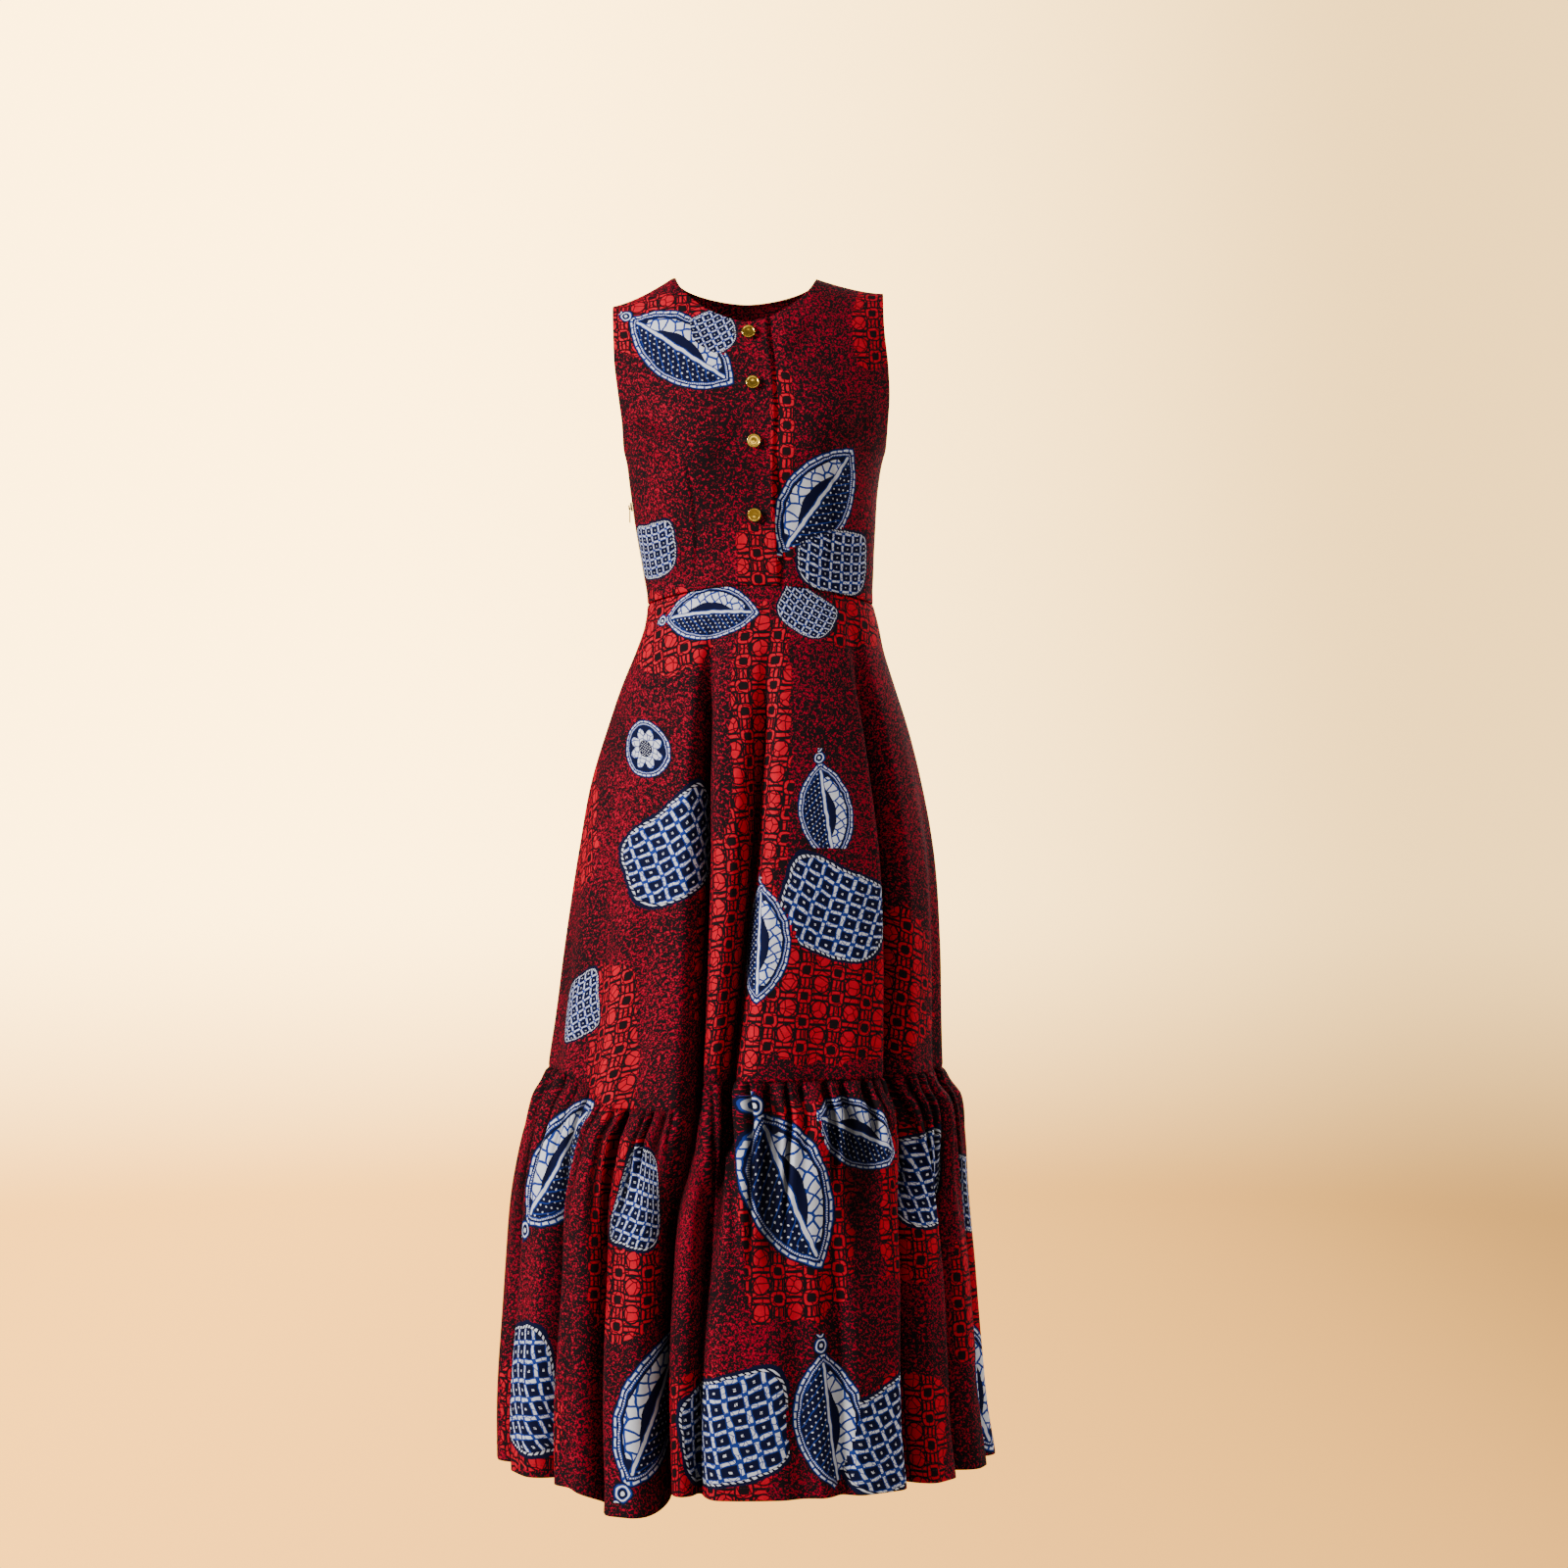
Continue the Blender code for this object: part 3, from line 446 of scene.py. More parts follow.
def turn_between(angle: Array | float, centre: Array | float) -> Array:
    """Angle less centre in degrees, from -180 to 180."""
    return (angle - centre + 180.0) % 360.0 - 180.0


def undulation(seed: float, u: Array, v: Array) -> Array:
    """A slow uneven swell, as hanging cloth has.

    Args:
        seed: Any number; another one gives another swell.
        u: Places across the cloth, in metres.
        v: Places along the cloth, in metres.

    Returns:
        Values from about -1 to 1.
    """
    total = 0.0
    for k in range(1, 6):
        a = 19.0 + 13.0 * k * math.sin(seed + 1.7 * k)
        b = 11.0 + 9.0 * k * math.cos(2.3 * seed + 1.1 * k)
        total = total + np.sin(a * u + b * v + seed * k) / k
    return total / 2.2


def added_up(steps: Array, axis: int = 0) -> Array:
    """Adds up steps along an axis, from 0."""
    return np.insert(np.cumsum(steps, axis=axis), 0, 0.0, axis=axis)


def run_along(points: Array, axis: int = 0) -> Array:
    """How far points, with their coordinates last, lie along lines that run on an axis."""
    return added_up(np.linalg.norm(np.diff(points, axis=axis), axis=-1), axis)


class DressForm:
    """The dress's surface: angles run round the body from the centre front, heights along +Z."""

    @staticmethod
    def waist_height(angle: Array | float) -> Array:
        """The waist seam's height at an angle in degrees, highest at the centre front."""
        forward = np.cos(np.radians(angle))
        rise = np.where(forward > 0, WAIST_FRONT_RISE, WAIST_BACK_RISE)
        return WAIST_SIDE + rise * forward**2

    @staticmethod
    def dip_at(dip: Dip, angle: Array | float) -> Array:
        """How far an edge is lowered at an angle in degrees."""
        at = turn_between(angle, 0.0)
        fall = ease((at - dip.start) / (dip.full_start - dip.start))
        return dip.drop * fall * (1 - ease((at - dip.full_end) / (dip.end - dip.full_end)))

    @classmethod
    def seam_height(cls, angle: Array | float) -> Array:
        """The flounce seam's height at an angle in degrees."""
        return SEAM_HEIGHT - cls.dip_at(SEAM_DIP, angle)

    @classmethod
    def hem_height(cls, angle: Array | float) -> Array:
        """The hem's height at an angle in degrees."""
        return HEM_HEIGHT - cls.dip_at(HEM_DIP, angle)

    @staticmethod
    def shoulder_drop(x: Array | float) -> Array:
        """How far the shoulder line lies below its neck end at a sideways place."""
        drop = np.where(x < NECK_CENTRE, SHOULDER_DROP_RIGHT, SHOULDER_DROP_LEFT)
        out = (np.abs(x - NECK_CENTRE) - NECK_HALF) / SHOULDER_LENGTH
        share = np.clip(out, 0.0, PAST_SHOULDER)
        inside = np.clip(1 - share, 0.0, 1.0)
        return drop * (1 - inside**SHOULDER_EASE)

    @classmethod
    def smooth_torso(cls, angle: Array, height: Array) -> Array:
        """Points of the bodice without its creases.

        Args:
            angle: Degrees from the centre front.
            height: Heights in metres.

        Returns:
            The three coordinates, stacked first.
        """
        a = np.radians(angle)
        x = read(TORSO, "half_width", height) * np.sin(a)
        forward = np.cos(a)
        depth = np.where(forward > 0, read(TORSO, "front", height), read(TORSO, "back", height))
        below = np.clip((NECK_TOP - cls.shoulder_drop(x) - height) / ROLL_HEIGHT, 0.0, 1.0)
        roll = (1 - (1 - below) ** ROLL_ROUND) ** (1 / ROLL_ROUND)
        y = -np.sign(forward) * depth * np.abs(forward) ** SQUARENESS * roll
        across = (np.abs(x) - BUST_OUT) / BUST_WIDTH
        up = (height - BUST_HEIGHT) / BUST_TALL
        y = y - BUST_RISE * np.exp(-(across**2) - up**2) * (forward > 0) * np.abs(forward)
        return np.array([x + read(TORSO, "shift", height), y, height + 0 * x])

    @staticmethod
    def crease_depth(creases: tuple[Crease, ...], x: Array, z: Array) -> Array:
        """How far creases press a panel in.

        Args:
            creases: The creases of the panel's side.
            x: Sideways places.
            z: Heights.

        Returns:
            Depths in metres.
        """
        total = 0.0 * x
        for crease in creases:
            run = np.array([crease.x_end - crease.x_start, crease.z_end - crease.z_start])
            length = float(np.hypot(*run))
            along = ((x - crease.x_start) * run[0] + (z - crease.z_start) * run[1]) / length
            off = ((x - crease.x_start) * run[1] - (z - crease.z_start) * run[0]) / length
            bow = off + CREASE_BOW * length * np.sin(math.pi * np.clip(along / length, 0, 1))
            end = CREASE_ENDS * length
            ends = ease(along / end) * ease((length - along) / end)
            total = total + crease.depth * ends * np.exp(-((bow / crease.width) ** 2))
        return total

    @staticmethod
    def depth_at(table: Table, forward: Array, height: Array) -> Array:
        """The half depth of a table's oval, front where forward is positive, else back."""
        return np.where(forward > 0, read(table, "front", height), read(table, "back", height))

    @classmethod
    def oval(cls, table: Table, angle: Array, height: Array) -> tuple[Array, Array]:
        """The sideways and the forward place of a table's oval at an angle and height."""
        a = np.radians(angle)
        forward = np.cos(a)
        deep = cls.depth_at(table, forward, height)
        return read(table, "half_width", height) * np.sin(a), deep * forward

    @classmethod
    def fold_centre(cls, fold: Fold, form: TierForm, height: Array) -> Array:
        """The angle in degrees of a fold's valley, which runs straight down its tier."""
        down = form.down(height)
        top = cls.oval(form.table, fold.top_angle, form.high)
        low = cls.oval(form.table, fold.low_angle, form.low)
        side = (top[0] + (low[0] - top[0]) * down) / read(form.table, "half_width", height)
        forward = top[1] + (low[1] - top[1]) * down
        return np.degrees(np.arctan2(side, forward / cls.depth_at(form.table, forward, height)))

    @classmethod
    def fold_effect(cls, form: TierForm, angle: Array, height: Array) -> tuple[Array, Array]:
        """What the folds do at a place.

        Args:
            form: The tier's form.
            angle: Degrees from the centre front.
            height: Heights in metres.

        Returns:
            The turn in degrees and the depth in metres.
        """
        turn = 0.0 * angle
        depth = 0.0 * angle
        down = form.down(height)
        for fold in form.folds:
            grown = ease((down - fold.start) / (fold.full - fold.start))
            away = turn_between(angle, cls.fold_centre(fold, form, height))
            share = np.clip(away / np.where(away < 0, fold.before, fold.after), -1.0, 1.0)
            depth = depth + fold.depth * grown * (1 + np.cos(math.pi * share)) / 2
            turn = turn - fold.hang * grown * np.sin(math.pi * share)
        return turn, depth

    @classmethod
    def oval_point(
        cls, table: Table, angle: Array, height: Array, turn: Array, depth: Array
    ) -> Array:
        """A tier's points: an oval of the table's sizes, turned and moved in by its folds."""
        side, forward = cls.oval(table, angle + turn, height)
        half = read(table, "half_width", height)
        deep = cls.depth_at(table, forward, height)
        out = np.array([side / half**2, -forward / deep**2])
        out = out / np.linalg.norm(out, axis=0)
        x = read(table, "shift", height) + side - depth * out[0]
        return np.array([x, -forward - depth * out[1], height + 0 * x])

    @classmethod
    def skirt(cls, angle: Array, height: Array) -> Array:
        """Points of the skirt's outer face at angles and heights."""
        turn, depth = cls.fold_effect(SKIRT_FORM, angle, height)
        grown = ease((SKIRT_FORM.high - height) / SKIRT_SWELL_FALL)
        swell = SKIRT_SWELL * grown * undulation(2.1, np.radians(angle) * 0.17, 0.35 * height)
        return cls.oval_point(SKIRT, angle, height, turn, depth + swell)

    @classmethod
    def flounce_folds(cls, angle: Array, height: Array) -> tuple[Array, Array]:
        """The turn and depth of the flounce's folds, which are the skirt's at the seam."""
        top = cls.seam_height(angle)
        taken = ease((top - height) / (FOLD_CHANGE * (SEAM_HEIGHT - HEM_HEIGHT)))
        held = np.maximum(height, top)
        skirt_turn, skirt_depth = cls.fold_effect(SKIRT_FORM, angle, held)
        turn, depth = cls.fold_effect(FLOUNCE_FORM, angle, height)
        turn = skirt_turn * (1 - taken) + turn * taken
        return turn, skirt_depth * (1 - taken) + depth * taken

    @classmethod
    def flounce(cls, angle: Array, height: Array) -> Array:
        """Points of the flounce's outer face, without its gathers, at angles and heights."""
        top = cls.seam_height(angle)
        turn, depth = cls.flounce_folds(angle, height)
        upper = cls.oval_point(SKIRT, angle, height, turn, depth)
        lower = cls.oval_point(FLOUNCE, angle, height, turn, depth)
        blend = ease((top - height) / OUTLINE_CHANGE)
        return upper * (1 - blend) + lower * blend


def outward(surface: Surface, angle: Array, height: Array, level: bool) -> Array:
    """The unit normals of a surface.

    Args:
        surface: A function from angles and heights to points.
        angle: Degrees from the centre front.
        height: Heights in metres.
        level: Whether the normals are kept level.

    Returns:
        The normals' coordinates, stacked first.
    """
    step_angle, step_height = 0.05, 0.0002
    round_it = surface(angle + step_angle, height) - surface(angle - step_angle, height)
    up_it = surface(angle, height + step_height) - surface(angle, height - step_height)
    normal = np.cross(round_it, up_it, axis=0)
    if level:
        normal[2] = 0.0
    return normal / np.linalg.norm(normal, axis=0)


def new_piece(name: str, data: bpy.types.ID) -> Piece:
    """A new object for a mesh, a light or a camera, in the scene."""
    made = bpy.data.objects.new(name, data)
    bpy.context.scene.collection.objects.link(made)
    return made


def show(made: Piece, body: str, material: Material) -> None:
    """Finishes a piece and hangs it on a body.

    Args:
        made: The piece, with its place in its mesh.
        body: The body that it moves with.
        material: Its finish.
    """
    made.data.materials.clear()
    made.data.materials.append(material)
    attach(made, body)
    LOG.info("%s: %d faces, on %s", made.name, len(made.data.polygons), body)


@dataclass(frozen=True)
class ClothGrid:
    """A panel's points row by row, its print's places in metres and the painted shade of its folds.
    """

    outer: Array
    inner: Array
    uv: Array
    painted_shade: Array


@dataclass(frozen=True)
class ClothPanel:
    """One cut piece of cloth: a closed thin shell, with its print placed on it."""

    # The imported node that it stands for, its side and its grid
    node: str
    side: Side
    grid: ClothGrid

    def build(self, material: Material, flat: Pair, share: float, held: str) -> None:
        """Makes the panel's mesh, finishes it and hangs it on the dress.

        Args:
            material: The printed cloth.
            flat: Width and length of the cut piece, in metres.
            share: The part of width times length that the cut piece fills.
        """
        made = new_piece(self.node + "_cloth", self._mesh())
        made.data.shade_smooth()
        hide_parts(self.node)
        show(made, "dress", material)
        area = flat[0] * flat[1] * share
        LOG.info("%s: %.4f m2 of cloth, cut %.4f m2", self.node, self._area(), area)

    def _area(self) -> float:
        """The area of the panel's outer face, in square metres."""
        p = self.grid.outer
        one = np.cross(p[1:, :-1] - p[:-1, :-1], p[:-1, 1:] - p[:-1, :-1])
        two = np.cross(p[1:, :-1] - p[1:, 1:], p[:-1, 1:] - p[1:, 1:])
        return float((np.linalg.norm(one, axis=-1) + np.linalg.norm(two, axis=-1)).sum() / 2)

    def _mesh(self) -> bpy.types.Mesh:
        """The closed shell's mesh with its print coordinates."""
        rows, columns = self.grid.outer.shape[:2]
        index = np.arange(rows * columns).reshape(rows, columns)
        low, high = index[:-1], index[1:]
        outer = np.stack([low[:, :-1], low[:, 1:], high[:, 1:], high[:, :-1]], -1).reshape(-1, 4)
        rim = np.concatenate([index[0], index[1:, -1], index[-1, -2::-1], index[-2:0:-1, 0]])
        there = np.roll(rim, -1)
        deep = rows * columns
        border = np.stack([there, rim, rim + deep, there + deep], -1)
        if not self._faces_out(outer):
            outer = outer[:, ::-1]
            border = border[:, ::-1]
        inner = outer[:, ::-1] + deep
        faces = np.concatenate([outer, inner, border])
        points = np.concatenate([self.grid.outer.reshape(-1, 3), self.grid.inner.reshape(-1, 3)])
        mesh = bpy.data.meshes.new(self.node + "_cloth")
        mesh.from_pydata(points.tolist(), [], faces.tolist())
        uv = np.tile(self.grid.uv.reshape(-1, 2), (2, 1))
        self._write_uv(mesh, "UVMap", uv[faces.reshape(-1)])
        self._write_uv(mesh, "figure", self._figure_corners(points, uv, faces))
        self._write_value(mesh, "lattice", self._lattice(points))
        # The painted shade of folds, creases and gathers, which darkens the print's colour
        self._write_value(mesh, "painted_shade", np.tile(self.grid.painted_shade.reshape(-1), 2))
        mesh.update()
        return mesh

    def _faces_out(self, faces: Array) -> bool:
        """Tells whether the outer faces point from the inner wall towards the outer one."""
        outer = self.grid.outer.reshape(-1, 3)
        inner = self.grid.inner.reshape(-1, 3)
        p = outer[faces]
        normal = np.cross(p[:, 2] - p[:, 0], p[:, 3] - p[:, 1])
        wall = outer[faces].mean(axis=1) - inner[faces].mean(axis=1)
        return float((normal * wall).sum()) > 0

    @staticmethod
    def _write_uv(mesh: bpy.types.Mesh, name: str, corners: Array) -> None:
        """Adds a map of printed coordinates, one pair for each face corner."""
        layer = mesh.uv_layers.new(name=name)
        layer.data.foreach_set("uv", corners.astype(np.float32).reshape(-1))

    @staticmethod
    def _write_value(mesh: bpy.types.Mesh, name: str, values: Array) -> None:
        """Adds a number for each point."""
        layer = mesh.attributes.new(name, "FLOAT", "POINT")
        layer.data.foreach_set("value", values.astype(np.float32))

    def _lattice(self, points: Array) -> Array:
        """How far each point lies inside the lattice patches, 0 to 1."""
        total = np.zeros(len(points))
        for patch in LATTICE_PATCHES[self.side]:
            x = np.abs(points[:, 0] - patch.x) / patch.half_x
            z = np.abs(points[:, 2] - patch.z) / patch.half_z
            inside = np.clip(PATCH_EDGE - (x**4 + z**4) ** 0.25, 0.0, 1.0)
            total = np.maximum(total, inside)
        return total

    def _figure_corners(self, points: Array, uv: Array, faces: Array) -> Array:
        """Each face corner's place in the nearest figure's own space, or nowhere."""
        rows, columns = self.grid.outer.shape[:2]
        outer = points[: rows * columns]
        heights = outer[:, 2]
        centre = uv[faces].mean(axis=1)
        best = np.full(len(faces), FIGURE_REACH)
        corners = np.full((len(faces), 4, 2), NOWHERE)
        for figure in FIGURES[self.side]:
            gap = np.hypot(outer[:, 0] - figure.x, outer[:, 2] - figure.z)
            if not heights.min() < figure.z < heights.max() or gap.min() > FIGURE_SEAT:
                continue
            place = uv[int(gap.argmin())]
            away = np.linalg.norm(centre - place, axis=1) / figure.scale
            nearer = away < best
            best = np.where(nearer, away, best)
            turn = math.radians(figure.turn)
            spin = np.array([[math.cos(turn), -math.sin(turn)], [math.sin(turn), math.cos(turn)]])
            own = (uv[faces[nearer]] - place) @ spin / figure.scale
            corners[nearer] = own + np.array([float(figure.kind.value), 0.0])
        return corners.reshape(-1, 2)


def edge_shares(count: int, length: float) -> Array:
    """Even shares of a length in metres, with a few more near both ends for the seams."""
    near = np.array([0.0012, 0.0028, 0.0050]) / length
    even = np.linspace(0.0, 1.0, count + 1)
    return np.unique(np.concatenate([even, near, 1 - near]))


def pinch(distance: Array) -> Array:
    """How far cloth is drawn in at a distance from its seam, both in metres."""
    return PINCH_DEPTH * np.exp(-((distance / PINCH_WIDTH) ** 2))


def tuck(distance: Array) -> Array:
    """How far the under one of two sewn panels sinks at a distance from its edge."""
    return TUCK_DEPTH * np.exp(-((distance / TUCK_WIDTH) ** 2))


def joined(point: Array, under: Array | None) -> Array:
    """Moves a panel to its seams: a front just short, a back under it by how far it has sunk."""
    point[1] += -HALF_GAP if under is None else HALF_GAP - TUCK * under / TUCK_DEPTH
    return point


@dataclass
class Bodice:
    """Two fronts that lap at the buttons, and a back."""

    # Mesh columns along neck, shoulder and armhole, and rows, with how both spread on the way up
    columns: tuple[int, ...] = (34, 30, 44)
    rows: int = 96
    row_length: float = 0.30
    row_spread: float = 1.25
    column_swing: float = 1.5
    neck_spread: float = 0.85
    waist_stops: Triple = (20.0, 40.0, 90.0)
    # Metres of cloth for each radian from the side seam
    side_run: float = 0.108
    # The slow swell, and how creases and swell fade at the top and at the waist
    swell: float = 0.0009
    top_fade: float = 0.05
    waist_fade: float = 0.03
    # The turned top edge
    roll: float = 0.0006
    roll_width: float = 0.0025
    # The crease depth at which the print's painted shade is full, and the most painted shade there
    shade_depth: float = 0.0045
    most_shade: float = 0.6
    # The lap's edge, which stands open a little between the buttons and more below them
    gape_width: float = 0.009
    gape_low: float = 0.0026
    gape_between: float = 0.0008
    gape_top: float = -0.190
    gape_end: float = -0.323
    button_run: float = 0.057
    # The grid that the print's sideways coordinates are read from, and where the back's start
    arc_heights: int = 60
    arc_top: float = -0.03
    back_start: float = 0.8
    front_sheet: Pair = (0.215, 0.345)
    back_sheet: Pair = (0.390, 0.355)
    sheet_share: float = 0.85

    def __post_init__(self) -> None:
        """Prepares the arcs that the print's sideways coordinates are read from."""
        self.heights = np.linspace(-0.37, 0.02, self.arc_heights)
        self.angles = np.linspace(0.0, 92.0, 93)
        angle, height = np.meshgrid(self.angles, self.heights)
        points = DressForm.smooth_torso(angle, np.minimum(height, self.arc_top))
        steps = np.hypot(np.diff(points[0], axis=1), np.diff(points[1], axis=1))
        self.arcs = added_up(steps, axis=1)

    def build(self, material: Material) -> dict[str, ClothGrid]:
        """Makes the three panels and gives their grids by node."""
        left, right = self._half(Hand.LEFT, True, 0.0), self._half(Hand.RIGHT, True, 0.0)
        parts = ((getattr(left, f.name), getattr(right, f.name)) for f in fields(ClothGrid))
        back = ClothGrid(*(np.concatenate((a[:, ::-1], b[:, 1:]), axis=1) for a, b in parts))
        grids = {
            "front_right": self._half(Hand.RIGHT, False, -LAP_EDGE),
            "front_left": self._half(Hand.LEFT, False, -LAP_UNDER),
            "back_bodice": back,
        }
        for node, grid in grids.items():
            side, sheet = Side.FRONT, self.front_sheet
            if node == "back_bodice":
                side, sheet = Side.BACK, self.back_sheet
            ClothPanel(node, side, grid).build(material, sheet, self.sheet_share, "hung")
        return grids

    @staticmethod
    def _angle_at(x: Array | float, height: Array | float) -> Array:
        """The angle whose sideways place is x, measured from the centre line."""
        return np.degrees(np.arcsin(x / read(TORSO, "half_width", height)))

    def _top_edge(self, hand: Hand, edge: float, lowest: float) -> tuple[Array, Array]:
        """The half bodice's top: neckline, shoulder seam, then armhole.

        Args:
            hand: Which half.
            edge: The sideways place where the neckline starts, towards the half's own side.
            lowest: The neckline's lowest height.

        Returns:
            Angles towards the half's side seam, and heights.
        """
        shift = read(TORSO, "shift", 0.0)
        reach = NECK_HALF + hand.value * (NECK_CENTRE - shift)
        neck, shoulder, arm = (np.arange(count) / count for count in self.columns)
        out = edge + (reach - edge) * neck**self.neck_spread
        share = np.minimum(np.abs(hand.value * out + shift - NECK_CENTRE) / NECK_HALF, 1.0)
        curved = NECK_TOP - (NECK_TOP - lowest) * (1 - share**NECK_ROUND) ** (1 / NECK_ROUND)
        neck_end = self._angle_at(reach, 0.0)
        along = neck_end + (TIP_ANGLE - neck_end) * shoulder
        x = hand.value * read(TORSO, "half_width", 0.0) * np.sin(np.radians(along))
        tip = NECK_TOP - DressForm.shoulder_drop(hand.value * 0.3)
        turn = math.pi / 2 * np.append(arm, 1.0)
        round_arm = TIP_ANGLE + (90 - TIP_ANGLE) * (1 - np.cos(turn)) ** ARMHOLE_SWEEP
        down_arm = tip + (UNDERARM_HEIGHT - tip) * np.sin(turn)
        angles = (self._angle_at(out, curved), along, round_arm)
        heights = (curved, NECK_TOP - DressForm.shoulder_drop(x), down_arm)
        return np.concatenate(angles), np.concatenate(heights)

    def _feet(self, edge: float) -> Array:
        """The columns' angles at the waist, from the centre edge to the side seam."""
        stops = (self._angle_at(edge, WAIST_SIDE), *self.waist_stops)
        spans = zip(stops, stops[1:], self.columns)
        parts = [np.linspace(low, high, count, endpoint=False) for low, high, count in spans]
        return np.append(np.concatenate(parts), stops[-1])

    def _half(self, hand: Hand, back: bool, edge: float) -> ClothGrid:
        """The points of half a bodice, from its centre edge to its side seam.

        Args:
            hand: Which half.
            back: Whether it is the back's half.
            edge: The sideways place of its centre edge, towards its own side.

        Returns:
            The half's grid.
        """
        tops, top_heights = self._top_edge(hand, edge, BACK_NECK if back else FRONT_NECK)
        feet = self._feet(edge)
        shoulder = np.arange(len(tops))
        at_seam = (shoulder >= self.columns[0]) & (shoulder <= self.columns[0] + self.columns[1])
        side = Side.BACK if back else Side.FRONT
        outer, inner, painted_shade = [], [], []
        for step in edge_shares(self.rows, self.row_length):
            share = 1 - (1 - step) ** self.row_spread
            local = feet + (tops - feet) * share**self.column_swing
            angle = 180.0 - hand.value * local if back else hand.value * local
            low = DressForm.waist_height(angle) + HALF_GAP
            height = low + (top_heights - low) * share
            point = DressForm.smooth_torso(angle, height)
            normal = outward(DressForm.smooth_torso, angle, height, level=step == 0.0)
            fall = top_heights - height
            press = DressForm.crease_depth(BODICE_CREASES[side], point[0], point[2])
            from_side = np.radians(90 - local) * self.side_run
            seam = pinch(height - low) + pinch(from_side)
            under = np.maximum(tuck(from_side), np.where(at_seam, tuck(fall), 0.0)) * back
            swell = self.swell * undulation(4.0 + hand.value, point[0], 0.6 * height)
            fade = ease(fall / self.top_fade) * ease((height - low) / self.waist_fade)
            edge_roll = self.roll * np.exp(-((fall / self.roll_width) ** 2))
            if step == 1.0:
                point[1] = np.where(at_seam, 0.0, point[1])
                normal = np.where(at_seam, np.array([[0.0], [0.0], [1.0]]), normal)
            sunk = (press + swell) * fade + seam + edge_roll + under
            if not back:
                sunk += (self._under_lap if hand is Hand.LEFT else self._lap_gape)(local, height)
            point = joined(point - normal * sunk, under if back else None)
            outer.append(point.T)
            inner.append((point - normal * CLOTH).T)
            # Painted shade: the print is darkened along the creases
            painted_shade.append(np.clip(press * fade / self.shade_depth, 0.0, self.most_shade))
        grid = np.array(outer)
        places = self._print_places(grid, hand, back)
        return ClothGrid(grid, np.array(inner), places, np.array(painted_shade))

    @staticmethod
    def _under_lap(local: Array, height: Array) -> Array:
        """How far the wearer's left front lies in under the right front's lap."""
        out = read(TORSO, "half_width", height) * np.sin(np.radians(local))
        return LAP_DROP * ease((LAP_EDGE + LAP_EASE - out) / LAP_EASE)

    def _lap_gape(self, local: Array, height: Array) -> Array:
        """How far the lap's edge sinks in, below nothing where it stands a little open."""
        out = read(TORSO, "half_width", height) * np.sin(np.radians(local))
        edge = np.exp(-(((out + LAP_EDGE) / self.gape_width) ** 2))
        low = ease((self.gape_top - height) / self.top_fade)
        low = low * ease((height - self.gape_end) / self.waist_fade)
        between = np.sin(math.pi * (height - BUTTON_HEIGHTS[0]) / self.button_run) ** 2
        return -(self.gape_low * low + self.gape_between * between * (1 - low)) * edge

    def _print_places(self, grid: Array, hand: Hand, back: bool) -> Array:
        """The print's places: the arc out from the centre line, and the run up a column."""
        half = read(TORSO, "half_width", grid[..., 2])
        x = (grid[..., 0] - read(TORSO, "shift", grid[..., 2])) * hand.value
        angle = np.degrees(np.arcsin(np.clip(x / half, -1.0, 1.0)))
        last = self.arc_heights - 1
        row = np.interp(grid[..., 2], self.heights, np.arange(last + 1.0))
        low = np.clip(row.astype(int), 0, last - 1)
        part = row - low
        arcs = np.zeros(angle.shape)
        for j in range(last):
            here = low == j
            if here.any():
                away = np.abs(angle[here])
                first = np.interp(away, self.angles, self.arcs[j])
                second = np.interp(away, self.angles, self.arcs[j + 1])
                arcs[here] = np.sign(angle[here]) * (first + (second - first) * part[here])
        steps = np.diff(grid, axis=0)
        run = added_up(np.hypot(steps[..., 1], steps[..., 2]))
        u = arcs * hand.value
        if back:
            u = self.back_start - u
        return np.stack([u, run + grid[:1, :, 2]], axis=-1)


